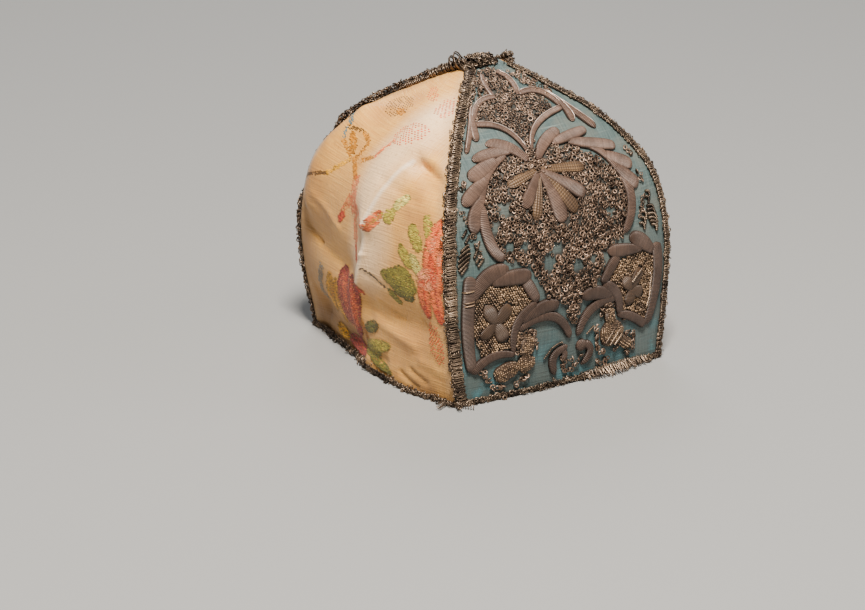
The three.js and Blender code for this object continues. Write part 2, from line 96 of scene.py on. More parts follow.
def section(up):
    """The five numbers of the level section at a share of the way up."""
    last = len(SECTIONS) - 1
    place = np.clip(up, -0.1, 1.0) * last
    i = np.clip(np.floor(place).astype(int), 0, last - 1)
    f = (place - i)[..., None]
    below = 2 * SECTIONS[0] - SECTIONS[1]
    above = 2 * SECTIONS[-1] - SECTIONS[-2]
    rows = np.vstack([below, SECTIONS, above])
    a, b, c, d = (rows[i + step] for step in range(4))
    bend = (2 * a - 5 * b + 4 * c - d) * f**2 + (3 * b - a - 3 * c + d) * f**3
    return 0.5 * (2 * b + (c - a) * f + bend)


def seam_point(seam, up):
    """Where a seam runs, at shares of the way up."""
    x_sign, y_sign, pushes = SEAMS[seam]
    row = section(up)
    x, y = x_sign * row[..., FRONT_HALF], y_sign * row[..., SIDE_HALF]
    out = 0 * x
    for push, at, span in pushes:
        out = out + push * np.exp(-(((up - at) / span) ** 2)) / np.maximum(np.hypot(x, y), 1.0)
    return np.stack([x * (1 + out), y * (1 + out), row[..., HEIGHT]], -1)


print(len(SECTIONS), "sections and", len(SEAMS), "seams")

# %% [markdown]
# ## Folds
# The brocade has slumped. Each fold is a line on the flat with a rise and a spread, and the cloth is moved
# in or out along it. Broad folds are in the solids too. The sharp creases of the left gore are only here.
# Folds could be sculpted, but a table of lines can be shared with the solids and changed one line at a time.

# %% Folds of the worn brocade
FOLDS = [
    # from across, from up, to across, to up, rise, spread
    (24, 88, 39, 81, -2.4, 3.5),
    (22, 94, 34, 89, 1.6, 5.0),
    (9, 62, 0, 36, 1.8, 4.0),
    (22, 88, 9, 62, 1.2, 4.5),
    (-48, 49, -12, 40, -2.4, 8.0),
    (3, 27, 35, 29, -2.0, 6.5),
    (-38, 13, -6, 10, -1.8, 6.0),
    (16, 102, 8, 70, 3.2, 9.0),
    (-39, 58, -35, 70, 4.6, 8.0),
    (-30, 82, -22, 94, 4.6, 8.0),
    (2, -2, 28, -2, 4.4, 13.0),
    (-46, 2, -40, 12, -3.0, 9.0),
]
RIGHT_FOLDS = [
    # the same columns
    (-20, 78, -10, 106, -4.0, 14.0),
    (-6, 62, 3, 36, 1.6, 4.0),
    (38, 13, 6, 10, -1.8, 6.0),
    (48, 49, 12, 40, -2.0, 8.0),
    (-30, 0, -4, -2, 3.0, 13.0),
    (-8, 46, 6, 44, 2.08, 20.0),
]
RIM_STRAIGHT = 0.15
CREASES = [
    # the same columns, for the sharp creases of the left gore
    (25, 88, 40, 83, -2.0, 1.2),
    (25, 90.4, 37, 87.4, 0.8, 1.3),
    (22, 88, 9.5, 61, 0.5, 1.8),
    (9.5, 61, 6, 49, 0.8, 1.0),
    (6, 49, 0, 36, 1.0, 0.9),
    (-50, 49, -33, 41, -0.9, 1.4),
    (-33, 41, -16, 38, -0.5, 1.6),
    (28, 9, 36, 6, -0.8, 1.0),
    (22, 6, 32, 3, -0.8, 1.1),
    (5, 41, 18, 38.5, -0.3, 0.7),
    (-45, 21, -40, 10, -1.0, 2.0),
    (-28, 8, 12, 7, -0.9, 2.2),
    (-8, 36, -9, 12, 0.6, 1.6),
    (8, 22, 30, 19, 0.7, 2.4),
    (34, 14, 46, 12, 0.5, 2.0),
    (36, 31, 47, 25, -0.5, 1.1),
    (40, 80, 46, 72, 0.6, 1.4),
    (10, 31, 25, 28, -0.5, 1.2),
    (-32, 61, -14, 53, 0.5, 1.7),
    (-24, 96, -8, 105, 0.5, 2.0),
    (13, 79, 30, 75, -0.4, 1.6),
]


def fold_height(folds, across, up):
    """How far the folds together move the cloth out or in at places on the flat."""
    height = np.zeros_like(across)
    for from_across, from_up, to_across, to_up, rise, spread in folds:
        along_across, along_up = to_across - from_across, to_up - from_up
        share = (across - from_across) * along_across + (up - from_up) * along_up
        share = np.clip(share / (along_across**2 + along_up**2), 0, 1)
        gap = np.hypot(across - from_across - share * along_across, up - from_up - share * along_up)
        height += rise * np.exp(-((gap / spread) ** 2))
    return height


print(len(FOLDS) + len(RIGHT_FOLDS), "folds and", len(CREASES), "creases")

# %% [markdown]
# ## One gore
# A gore lies between two seams and bows out between them. Its length and its widths are measured along the
# surface, because cloth is cut flat. A place on the flat can then be found on the cap, with a height over
# the cloth, and everything sewn to the gore is laid this way.

# %% One gore
LEVELS, ROUND_STATIONS = 161, 17
SEAM_HOLD = 6


class Gore:
    """A gore between two seams, left and right as seen from outside."""

    def __init__(self, left, right, bow, top, folds):
        self.left, self.right, self.bow, self.top, self.folds = left, right, bow, top, folds
        self.shares = np.linspace(0, top, LEVELS)
        middle = self.smooth(np.zeros(LEVELS), self.shares)
        steps = np.linalg.norm(np.diff(middle, axis=0), axis=1)
        self.lengths = np.concatenate([[0], np.cumsum(steps)])
        stations = np.linspace(-1, 1, ROUND_STATIONS)
        rounds = [self.smooth(np.full(LEVELS, a), self.shares) for a in stations]
        self.halves = np.linalg.norm(np.diff(rounds, axis=0), axis=2).sum(0) / 2

    def smooth(self, across, up):
        a, b = seam_point(self.left, up), seam_point(self.right, up)
        chord = b - a
        out = np.stack([chord[..., 1], -chord[..., 0], 0 * up], -1)
        out /= np.maximum(np.linalg.norm(out, axis=-1, keepdims=True), 1e-6)
        bow = section(up)[..., self.bow] * (1 - across**2)
        return a + chord * ((1 + across) / 2)[..., None] + out * bow[..., None]

    def normal(self, across, up):
        step = 0.004
        low = np.clip(up - step, -0.05, self.top - 2 * step)
        right = self.smooth(across + step, up) - self.smooth(across - step, up)
        rise = self.smooth(across, low + 2 * step) - self.smooth(across, low)
        n = np.cross(right, rise)
        return n / np.maximum(np.linalg.norm(n, axis=-1, keepdims=True), 1e-9)

    def half_at(self, up_mm):
        return np.interp(up_mm, self.lengths, self.halves)

    def lay(self, across_mm, up_mm, off_mm):
        """From the flat, in millimetres across, up and off the cloth, into space."""
        under = np.minimum(up_mm, 0) / self.lengths[1] * self.shares[1]
        up = np.interp(up_mm, self.lengths, self.shares) + under
        across = across_mm / self.half_at(up_mm)
        outward = self.normal(across, up)
        point = self.smooth(across, up) + outward * (off_mm + 0 * across)[..., None]
        if self.folds:
            level = np.stack([1 + 0 * up, 1 + 0 * up, np.clip(up / RIM_STRAIGHT, 0, 1)], -1)
            rise = (1 - np.clip(across, -1, 1) ** SEAM_HOLD) * fold_height(self.folds, across_mm, up_mm)
            point = point + outward * level * rise[..., None]
        return point


GORES = {
    # seams, bow, share of the way up, folds
    "front": Gore("near_left", "near_right", FRONT_BOW, 0.999, []),
    "back": Gore("far_right", "far_left", FRONT_BOW, 0.999, []),
    "left": Gore("far_left", "near_left", SIDE_BOW, 0.985, FOLDS + CREASES),
    "right": Gore("near_right", "far_right", SIDE_BOW, 0.985, RIGHT_FOLDS),
}
for name, gore in GORES.items():
    print(name, "gore: %.1f mm long, %.1f mm wide" % (gore.lengths[-1], 2 * gore.halves.max()))

# %% [markdown]
# ## Making a mesh from many copies
# Loops, seeds and stitches come in thousands. Each is modelled once with Blender's own primitives, read as
# a small blank, and copied by adding up arrays of points, which is far quicker than as many objects.

# %% Blanks and copies


def blank(add, **sizes):
    """Points and faces of a primitive, which is then taken out of the scene."""
    bpy.ops.object.select_all(action="DESELECT")
    add(**sizes)
    made = bpy.context.object
    points = np.array([v.co[:] for v in made.data.vertices])
    faces = [tuple(f.vertices) for f in made.data.polygons]
    bpy.data.objects.remove(made)
    return points, faces


def copies(faces, count, size):
    """Faces of several copies of a blank that has so many points."""
    return [tuple(v + size * i for v in face) for i in range(count) for face in faces]


def grey(tones, each=1):
    """Even grey dyes, one tone for so many points."""
    return np.repeat(np.column_stack([tones, tones, tones, np.ones(len(tones))]), each, 0)


def vary(count, middle, wander, low, high):
    """Chance values about a middle one, none of them out of range."""
    return chance.normal(middle, wander, count).clip(low, high)


# %% A tube along a path


def tube(path, across, thick, sides=5):
    """Points and faces of a tube along a path, as wide and as thick as its radii say."""
    ahead = np.gradient(path, axis=0)
    ahead /= np.maximum(np.linalg.norm(ahead, axis=1, keepdims=True), 1e-9)
    side = np.cross(ahead, (0.0, 0.0, 1.0))
    side /= np.maximum(np.linalg.norm(side, axis=1, keepdims=True), 1e-6)
    over = np.cross(side, ahead)
    turn = 2 * np.pi * np.arange(sides) / sides
    across, thick = (np.broadcast_to(r, len(path))[:, None, None] for r in (across, thick))
    ring = side[:, None] * np.cos(turn)[:, None] * across + over[:, None] * np.sin(turn)[:, None] * thick
    points = (path[:, None] + ring).reshape(-1, 3)
    faces = [tuple(range(sides))[::-1], tuple(range(len(points) - sides, len(points)))]
    for i in range(0, len(points) - sides, sides):
        for j in range(sides):
            k = (j + 1) % sides
            faces.append((i + j, i + k, i + k + sides, i + j + sides))
    return points, faces


# %% A heap that becomes a piece
FLOOR_CLEAR = 0.05


class Heap:
    """Meshes gathered into one piece, none of it under the floor."""

    def __init__(self):
        self.points, self.faces, self.uv, self.dye, self.size = [], [], [], [], 0

    def put(self, points, faces, uv=None, dye=None):
        points = np.maximum(np.asarray(points).reshape(-1, 3), (-np.inf, -np.inf, FLOOR_CLEAR))
        self.points.append(points)
        self.faces += [tuple(v + self.size for v in face) for face in faces]
        self.uv.append(np.zeros((len(points), 2)) if uv is None else uv)
        self.dye.append(np.ones((len(points), 4)) if dye is None else dye)
        self.size += len(points)

    def piece(self, name, material, slot, nodes=()):
        mesh = bpy.data.meshes.new(name)
        mesh.from_pydata((np.concatenate(self.points) * MM).tolist(), [], self.faces)
        corner = np.empty(len(mesh.loops), int)
        mesh.loops.foreach_get("vertex_index", corner)
        layer = mesh.uv_layers.new(name="flat")
        layer.data.foreach_set("uv", np.concatenate(self.uv)[corner].ravel())
        dye = mesh.color_attributes.new("dye", "FLOAT_COLOR", "POINT")
        dye.data.foreach_set("color", np.concatenate(self.dye).ravel())
        mesh.polygons.foreach_set("use_smooth", np.ones(len(mesh.polygons), bool))
        mesh.materials.append(material)
        piece = bpy.data.objects.new(name, mesh)
        bpy.context.scene.collection.objects.link(piece)
        dress(piece, nodes)
        return piece


def dress(piece, nodes=()):
    """Every piece rides on the one body, hides the solids it stands for and prints how many faces it has."""
    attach(piece, "root")
    if nodes:
        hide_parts(*nodes)
    print(piece.name, len(piece.data.polygons), "faces")


# %% [markdown]
# ## Camera, floor and light
# The camera stands a little to the left of the front gore and looks down on it. A long lens keeps the sides
# of the cap nearly parallel. The floor is plain and pale. A warm key lamp high at the front brings out the
# relief, and two weaker ones at the right and behind keep the shadows open.

# %% Camera
AZIMUTH, ELEVATION = np.radians(-34.5), np.radians(18.7)
DISTANCE = 1.2
MIDDLE = np.array([0, 0, 0.0555])
LENS = 132.2
AIM_RIGHT, AIM_UP = -0.0185, -0.0386

level = np.array([np.sin(AZIMUTH), -np.cos(AZIMUTH), 0])
back = np.cos(ELEVATION) * level + np.array([0, 0, np.sin(ELEVATION)])
right = np.array([np.cos(AZIMUTH), np.sin(AZIMUTH), 0])
upward = np.cross(back, right)
eye = MIDDLE + DISTANCE * back
aim = MIDDLE + AIM_RIGHT * right + AIM_UP * upward


def look(obj, place, target):
    obj.location = place
    obj.rotation_euler = (Vector(target) - Vector(place)).to_track_quat("-Z", "Y").to_euler()


bpy.ops.object.select_all(action="DESELECT")
bpy.ops.object.camera_add()
camera = bpy.context.object
camera.data.lens = LENS
look(camera, eye, aim)
bpy.context.scene.camera = camera
print("camera at", np.round(eye, 3))

# %% Floor and lamps
FLOOR_SIZE, FLOOR_ROUGH = 8.0, 0.9
FLOOR_GREY = (0.27, 0.27, 0.265, 1)
SKY, SKY_STRENGTH = (1.0, 0.98, 0.95, 1), 0.07
LAMPS = [
    # name, place, size, watts, colour
    ("key_lamp", (-0.34, -0.6, 1.3), 0.3, 62.0, (1.0, 0.94, 0.86)),
    ("right_lamp", (1.0, -0.75, 0.8), 0.6, 4.0, (1.0, 0.95, 0.88)),
    ("back_lamp", (0.5, 0.9, 1.0), 0.6, 9.0, (0.95, 0.97, 1.0)),
]

bpy.ops.object.select_all(action="DESELECT")
bpy.ops.mesh.primitive_plane_add(size=FLOOR_SIZE)
floor = bpy.context.object
floor.name = "floor"
floor_paint = bpy.data.materials.new("floor_paint")
floor_paint.use_nodes = True
shader = floor_paint.node_tree.nodes["Principled BSDF"]
shader.inputs["Base Color"].default_value = FLOOR_GREY
shader.inputs["Roughness"].default_value = FLOOR_ROUGH
floor.data.materials.append(floor_paint)

for name, place, size, watts, colour in LAMPS:
    bpy.ops.object.light_add(type="AREA")
    lamp = bpy.context.object
    lamp.name = name
    lamp.data.size, lamp.data.energy, lamp.data.color = size, watts, colour
    look(lamp, place, MIDDLE)

world = bpy.data.worlds.new("studio")
world.use_nodes = True
sky = world.node_tree.nodes["Background"]
sky.inputs["Color"].default_value = SKY
sky.inputs["Strength"].default_value = SKY_STRENGTH
bpy.context.scene.world = world
print(len(LAMPS), "lamps")

# %% [markdown]
# ## Finishes
# Silk shows fine streaks along its threads, old metal is patchy with tarnish, and thread wound over padding
# has a ridge for each turn. These three effects are made once as node groups and used in several finishes.

# %% Node helpers


def rgb(red, green, blue):
    """A colour as the eye reads it, 0 to 255, turned into the light values that shaders use."""
    c = np.array([red, green, blue]) / 255
    return tuple(np.where(c <= 0.04045, c / 12.92, ((c + 0.055) / 1.055) ** 2.4)) + (1.0,)


def plug(tree, socket, value):
    """Joins another socket to this one, or sets it to a plain value."""
    if isinstance(value, bpy.types.NodeSocket):
        tree.links.new(value, socket)
    else:
        socket.default_value = value


def node(tree, kind, **inputs):
    """A shader node. Inputs go by name, or by number as i0, i1 and so on."""
    made = tree.nodes.new("ShaderNode" + kind)
    for key, value in inputs.items():
        numbered = key[0] == "i" and key[1:].isdigit()
        plug(tree, made.inputs[int(key[1:]) if numbered else key.replace("_", " ")], value)
    return made


def math(tree, operation, a, b=0.0):
    made = node(tree, "Math", i0=a, i1=b)
    made.operation = operation
    return made.outputs[0]


def mix(tree, share, a, b, blend="MIX"):
    made = tree.nodes.new("ShaderNodeMix")
    made.data_type, made.blend_type = "RGBA", blend
    for socket, value in ((0, share), (6, a), (7, b)):
        plug(tree, made.inputs[socket], value)
    return made.outputs[2]


def tint(tree, colour, where, most, other):
    """Turns a colour towards another where a mask says, by a share at most."""
    return mix(tree, math(tree, "MULTIPLY", where, most), colour, other)


def spread(tree, value, low, high):
    """Stretches a value so that low becomes 0 and high becomes 1."""
    made = node(tree, "MapRange", i0=value, i1=low, i2=high)
    return made.outputs[0]


# %% Groups, finishes and layers


def group(name, inputs, outputs):
    tree = bpy.data.node_groups.new(name, "ShaderNodeTree")
    for label, kind in inputs:
        tree.interface.new_socket(label, in_out="INPUT", socket_type=kind)
    for label, kind in outputs:
        tree.interface.new_socket(label, in_out="OUTPUT", socket_type=kind)
    return tree, tree.nodes.new("NodeGroupInput"), tree.nodes.new("NodeGroupOutput")


def use_group(tree, shared, **inputs):
    made = tree.nodes.new("ShaderNodeGroup")
    made.node_tree = shared
    for key, value in inputs.items():
        plug(tree, made.inputs[key], value)
    return made


def finish(name):
    material = bpy.data.materials.new(name)
    material.use_nodes = True
    return material, material.node_tree, material.node_tree.nodes["Principled BSDF"]


def surface(tree, shader, **inputs):
    for key, value in inputs.items():
        plug(tree, shader.inputs[key.replace("_", " ")], value)


def flat_map(tree):
    """Millimetres across and up on the flat cloth."""
    made = node(tree, "UVMap")
    made.uv_map = "flat"
    return made.outputs[0]


def colour_layer(tree, name):
    made = node(tree, "VertexColor")
    made.layer_name = name
    return made.outputs[0]


def noise(tree, place, scale, detail):
    return node(tree, "TexNoise", Vector=place, Scale=scale, Detail=detail).outputs[0]


def bump(tree, shader, height, distance, strength):
    made = node(tree, "Bump", Strength=strength, Distance=distance, Height=height)
    tree.links.new(made.outputs["Normal"], shader.inputs["Normal"])


# %% Shared effects
silk_grain, source, sink = group(
    "silk_grain",
    [("Flat", "NodeSocketVector"), ("Thread", "NodeSocketFloat")],
    [("Warp", "NodeSocketFloat"), ("Weft", "NodeSocketFloat"), ("Height", "NodeSocketFloat")],
)
streaks = []
for squeeze in ((1.0, 0.06, 1.0), (0.05, 1.0, 1.0)):
    drawn = node(silk_grain, "Mapping", Vector=source.outputs["Flat"], Scale=squeeze).outputs[0]
    streaks.append(noise(silk_grain, drawn, source.outputs["Thread"], 3.0))
silk_grain.links.new(streaks[0], sink.inputs["Warp"])
silk_grain.links.new(streaks[1], sink.inputs["Weft"])
silk_grain.links.new(math(silk_grain, "ADD", streaks[0], streaks[1]), sink.inputs["Height"])

tarnish, source, sink = group(
    "tarnish",
    [("Place", "NodeSocketVector"), ("Patch", "NodeSocketFloat")],
    [("Dark", "NodeSocketFloat"), ("Speck", "NodeSocketFloat")],
)
SPECKS_PER_METRE = 2600.0
patches = noise(tarnish, source.outputs["Place"], source.outputs["Patch"], 4.0)
specks = noise(tarnish, source.outputs["Place"], SPECKS_PER_METRE, 2.0)
tarnish.links.new(spread(tarnish, patches, 0.35, 0.68), sink.inputs["Dark"])
tarnish.links.new(spread(tarnish, specks, 0.35, 0.65), sink.inputs["Speck"])

wound_thread, source, sink = group(
    "wound_thread",
    [("Along", "NodeSocketFloat"), ("Pitch", "NodeSocketFloat")],
    [("Height", "NodeSocketFloat")],
)
turns = math(wound_thread, "DIVIDE", source.outputs["Along"], source.outputs["Pitch"])
wave = math(wound_thread, "SINE", math(wound_thread, "MULTIPLY", turns, 2 * np.pi))
wound_thread.links.new(wave, sink.inputs["Height"])
print("three shared effects")

# %% [markdown]
# ## Teal satin
# The satin is worn. Its threads show as fine streaks, and it is greyer where it was rubbed. Painted shade
# makes it darker low down and under the loops. An image of cloth could be wrapped round it, but noise drawn
# out along the threads needs no image and follows the flat map of each gore.

# %% Teal satin
SATIN_THREAD, BROCADE_THREAD = 1.3, 1.6
WEAVE_DEPTH, WEAVE_STRENGTH = 0.0003, 0.8

teal, tree, shader = finish("teal_satin")
flat = flat_map(tree)
grain = use_group(tree, silk_grain, Flat=flat, Thread=SATIN_THREAD)
worn = noise(tree, flat, 0.09, 5.0)
colour = mix(tree, spread(tree, grain.outputs["Warp"], 0.3, 0.7), rgb(47, 66, 67), rgb(80, 97, 94))
colour = mix(tree, spread(tree, grain.outputs["Weft"], 0.58, 0.74), colour, rgb(104, 116, 112))
colour = mix(tree, spread(tree, worn, 0.46, 0.64), colour, rgb(88, 94, 87))
up_mm = node(tree, "SeparateXYZ", Vector=flat).outputs[1]
# Painted shade: the satin is darker low down, towards the rim
colour = tint(tree, colour, spread(tree, up_mm, 66.0, 20.0), 0.6, rgb(34, 58, 59))
unworn = spread(tree, worn, 0.5, 0.38)
colour = tint(tree, colour, spread(tree, up_mm, 24.0, 4.0), unworn, rgb(58, 104, 110))
# Painted shade on the satin under and between the loops
colour = tint(tree, colour, colour_layer(tree, "loop_shade"), 0.9, rgb(40, 35, 29))
surface(tree, shader, Base_Color=colour, Roughness=0.55, Sheen_Weight=0.2)
bump(tree, shader, grain.outputs["Height"], WEAVE_DEPTH, WEAVE_STRENGTH)
print("teal satin, darker low down and under the loops")

# %% [markdown]
# ## Cream brocade
# The ground of the brocade is warm cream silk with old stains. Small specks are noise, because they have no
# place of their own. A painted highlight along the folds and dark patches do have one, so they are read from
# colour layers that are painted on the cloth further down. Painted shade darkens the far left and the rim.

# %% Cream brocade ground
cream, tree, shader = finish("cream_brocade")
flat = flat_map(tree)
across_mm, up_mm, _ = node(tree, "SeparateXYZ", Vector=flat).outputs
grain = use_group(tree, silk_grain, Flat=flat, Thread=BROCADE_THREAD)
stain, specks = noise(tree, flat, 0.045, 4.0), noise(tree, flat, 0.8, 4.0)
fold_highlight, tanned, dulled = node(tree, "SeparateColor", i0=colour_layer(tree, "worn")).outputs
colour = mix(tree, spread(tree, grain.outputs["Weft"], 0.3, 0.7), rgb(220, 152, 66), rgb(240, 181, 90))
colour = mix(tree, spread(tree, stain, 0.5, 0.72), colour, rgb(197, 137, 68))
colour = tint(tree, colour, tanned, 0.55, rgb(190, 128, 62))
# Painted highlight along the main fold
colour = tint(tree, colour, fold_highlight, 0.75, rgb(255, 218, 172))
colour = tint(tree, colour, spread(tree, specks, 0.56, 0.72), 0.4, rgb(168, 116, 60))
# Painted shade: darker towards the far left seam, where the cloth turns from the light
colour = tint(tree, colour, spread(tree, across_mm, -20.0, -48.0), 0.75, rgb(158, 113, 60))
# Painted shade towards the rim, patchy where the stains lie
colour = tint(tree, colour, spread(tree, up_mm, 22.0, 0.0), spread(tree, stain, 0.3, 0.6), rgb(120, 84, 44))
colour = tint(tree, colour, dulled, 0.7, rgb(186, 150, 106))
# Painted highlight: a pale line along the sharp crease
colour = tint(tree, colour, colour_layer(tree, "crease_highlight"), 0.65, rgb(255, 236, 208))
surface(tree, shader, Base_Color=colour, Roughness=0.48, Sheen_Weight=0.1)
bump(tree, shader, grain.outputs["Height"], WEAVE_DEPTH, WEAVE_STRENGTH)
print("cream ground with stains, faded folds and dull seams")

# %% Coloured threads of the brocade
float_silk, tree, shader = finish("brocade_floats")
surface(tree, shader, Base_Color=colour_layer(tree, "dye"), Roughness=0.5, Sheen_Weight=0.1)
print("coloured threads, each in its own dye")

# %% [markdown]
# ## Wound thread
# Metal thread is laid side by side across each pad. Modelled one by one, the threads of a leaf would take
# thousands of faces, so the pad is smooth and its threads are a wave in the bump, counted along the pad's
# own map. Painted shade darkens the grooves, the edges and the pads low down.

# %% Thread wound over padding
THREAD_PITCH, BEAD_PITCH = 0.5, 1.0
THREAD_DEPTH, THREAD_ROUGH = 0.00014, 0.5
PAD_TARNISH, WIRE_TARNISH = 150.0, 180.0
# Heights where the painted shade on the pads starts and where it is full
SHADE_START_HEIGHT, FULL_SHADE_HEIGHT = 0.108, 0.035


def wound_finish(name, light, dark, groove_shade, rib, metallic):
    """Thread laid straight across a pad, or with ribs along it where a rib has a width.

    Painted shade makes the thread darker towards the rim, in the grooves and at the edges.
    """
    material, tree, shader = finish(name)
    along, side_share, _ = node(tree, "SeparateXYZ", Vector=flat_map(tree)).outputs
    place = node(tree, "TexCoord").outputs["Object"]
    old = use_group(tree, tarnish, Place=place, Patch=PAD_TARNISH)
    turn = use_group(tree, wound_thread, Along=along, Pitch=THREAD_PITCH).outputs[0]
    if rib:
        beads = use_group(tree, wound_thread, Along=along, Pitch=BEAD_PITCH).outputs[0]
        ribs = use_group(tree, wound_thread, Along=side_share, Pitch=rib).outputs[0]
        turn = math(tree, "ADD", math(tree, "MULTIPLY", ribs, 0.7), math(tree, "MULTIPLY", beads, 0.4))
    threads = noise(tree, node(tree, "CombineXYZ", X=along).outputs[0], 1.3, 3.0)
    height = node(tree, "SeparateXYZ", Vector=place).outputs[2]
    edge = spread(tree, math(tree, "ABSOLUTE", side_share), 0.62, 1.0)
    colour = mix(tree, old.outputs["Dark"], light, dark)
    colour = tint(tree, colour, spread(tree, threads, 0.4, 0.62), 0.7, dark)
    # Painted shade: darker towards the rim
    colour = tint(tree, colour, spread(tree, height, SHADE_START_HEIGHT, FULL_SHADE_HEIGHT), 0.7, groove_shade)
    # Painted shade at the pad's edges, which also stands for a dark outlining cord
    colour = tint(tree, colour, edge, 0.85, groove_shade)
    # Painted shade in the grooves between the turns of thread
    colour = tint(tree, colour, spread(tree, turn, 0.2, -1.0), 0.75 if rib else 0.45, groove_shade)
    surface(tree, shader, Base_Color=colour, Metallic=metallic, Roughness=THREAD_ROUGH)
    bump(tree, shader, turn, THREAD_DEPTH, 0.8 if rib else 0.65)
    return material


silver = wound_finish("wound_silver", rgb(146, 115, 98), rgb(92, 70, 58), rgb(42, 30, 24), 0.0, 0.15)
gilt = wound_finish("wound_gilt", rgb(134, 100, 68), rgb(96, 72, 54), rgb(50, 37, 28), 0.0, 0.12)
ribbed = wound_finish("ribbed_gilt", rgb(146, 113, 78), rgb(102, 78, 56), rgb(50, 37, 28), 0.36, 0.3)
print("silver, gilt and ribbed thread")

# %% [markdown]
# ## Wires
# Loops, seeds and lace are old metal, dull and patchy. Each copy carries its own tone as a colour on its
# points, so one finish serves thousands of loops and neighbours still differ.

# %% Wires and lace


def wire_finish(name, bright, dark, metallic, roughness):
    """Old wire, patchy with tarnish, in the tone that each copy was dyed."""
    material, tree, shader = finish(name)
    place = node(tree, "TexCoord").outputs["Object"]
    old = use_group(tree, tarnish, Place=place, Patch=WIRE_TARNISH)
    colour = mix(tree, old.outputs["Dark"], bright, dark)
    colour = tint(tree, colour, old.outputs["Speck"], 0.35, dark)
    colour = mix(tree, 1.0, colour, colour_layer(tree, "dye"), "MULTIPLY")
    surface(tree, shader, Base_Color=colour, Metallic=metallic, Roughness=roughness)
    return material


purl_wire = wire_finish("purl_wire", rgb(164, 138, 118), rgb(78, 61, 50), 0.7, 0.42)
seed_gilt = wire_finish("seed_gilt", rgb(160, 132, 103), rgb(80, 63, 50), 0.5, 0.38)
lace_wire = wire_finish("lace_wire", rgb(152, 131, 110), rgb(74, 61, 52), 0.75, 0.34)
# Dark finish for the strips of painted shade under the lace
lace_shade_strip = wire_finish("lace_shade_strip", rgb(58, 46, 36), rgb(30, 24, 19), 0.2, 0.7)
# Bright finish of the painted highlight along the crest pads
highlight_cord = wire_finish("highlight_cord", rgb(226, 206, 194), rgb(158, 132, 118), 0.3, 0.3)
print(len(bpy.data.materials), "finishes")

# %% [markdown]
# ## The cloth gores
# A gore starts as a flat grid. Its points are laid on the curved surface, the brocade with its folds, and
# the sheet is then given its thickness inwards. The flat coordinates stay on the cloth as a UV map, so the
# weave runs with the threads.

# %% Cut and lay the gores
CLOTH_THICK = 1.2


def cut_gore(name, columns, rows, material, slot):
    """Lays a flat grid on a gore, thickens it, and keeps its places on the flat as a UV map."""
    gore = GORES[name]
    bpy.ops.object.select_all(action="DESELECT")
    bpy.ops.mesh.primitive_grid_add(x_subdivisions=columns, y_subdivisions=rows, size=2)
    cloth = bpy.context.object
    cloth.name = slot + "_" + name
    mesh = cloth.data
    grid = np.empty(3 * len(mesh.vertices))
    mesh.vertices.foreach_get("co", grid)
    across, up = grid.reshape(-1, 3)[:, 0], (grid.reshape(-1, 3)[:, 1] + 1) / 2
    up_mm = up * gore.lengths[-1]
    across_mm = across * gore.half_at(up_mm)
    laid = gore.lay(across_mm, up_mm, 0.0)
    laid[:, 2] = np.maximum(laid[:, 2], FLOOR_CLEAR)
    mesh.vertices.foreach_set("co", (laid * MM).ravel())
    corner = np.empty(len(mesh.loops), int)
    mesh.loops.foreach_get("vertex_index", corner)
    mesh.uv_layers[0].name = "flat"
    mesh.uv_layers[0].data.foreach_set("uv", np.stack([across_mm, up_mm], 1)[corner].ravel())
    bpy.ops.object.shade_smooth()
    wall = cloth.modifiers.new("thickness", "SOLIDIFY")
    wall.thickness, wall.offset = CLOTH_THICK * MM, -1
    bpy.ops.object.modifier_apply(modifier="thickness")
    mesh.materials.append(material)
    dress(cloth, ["gore_" + name])


cut_gore("front", 90, 120, teal, "teal_satin")
cut_gore("back", 90, 120, teal, "teal_satin")
cut_gore("left", 120, 156, cream, "cream_brocade")
cut_gore("right", 80, 104, cream, "cream_brocade")

# %% [markdown]
# ## Wear and painted highlights
# A painted highlight pales the silk along its folds, and the silk has darkened between them. These marks are
# kept on the cloth as colour layers, which the finish of the brocade reads. They could be painted in an
# image, but layers on the mesh need no file and take their places from the same flat coordinates as the
# folds.

# %% Wear and painted highlights on the brocade
# Bent lines, across and up, of the painted highlight along a fold and of the pale painted highlight on a
# crease
FOLD_HIGHLIGHT = [(17, 112), (14, 92), (9, 80), (8, 68), (9, 56), (5, 44)]
FOLD_HIGHLIGHT_FULL, FOLD_HIGHLIGHT_END = 3.0, 15.0
CREASE_HIGHLIGHT = [(22, 88), (9.5, 61), (6, 49), (0, 36)]
CREASE_HIGHLIGHT_FULL, CREASE_HIGHLIGHT_END = 0.1, 1.1
DULL_BAND, TAN_SOFT = 5.0, 2 / 3
TANNED = [
    # across, up, radius of patches where the silk has darkened
    (38, 66, 9), (-12, 101, 9), (-36, 66, 12), (33, 22, 14), (-4, 112, 7),
]


def flat_places(mesh):
    flat = np.empty(2 * len(mesh.loops))
    mesh.uv_layers["flat"].data.foreach_get("uv", flat)
    return flat.reshape(-1, 2)


def paint(mesh, layer, *shares):
    """Keeps up to three shares as the channels of one colour layer."""
    channels = np.ones((len(mesh.loops), 4))
    for channel in range(3):
        channels[:, channel] = shares[min(channel, len(shares) - 1)]
    mesh.color_attributes.new(layer, "FLOAT_COLOR", "CORNER").data.foreach_set("color", channels.ravel())


def near_line(places, line, full, end):
    """1 close to a bent line, falling to 0 away from it."""
    away = np.full(len(places), np.inf)
    for start, stop in zip(line, line[1:]):
        start, step = np.array(start, float), np.subtract(stop, start)
        t = np.clip((places - start) @ step / (step @ step), 0, 1)
        away = np.minimum(away, np.linalg.norm(places - start - t[:, None] * step, axis=1))
    return np.clip((end - away) / (end - full), 0, 1)


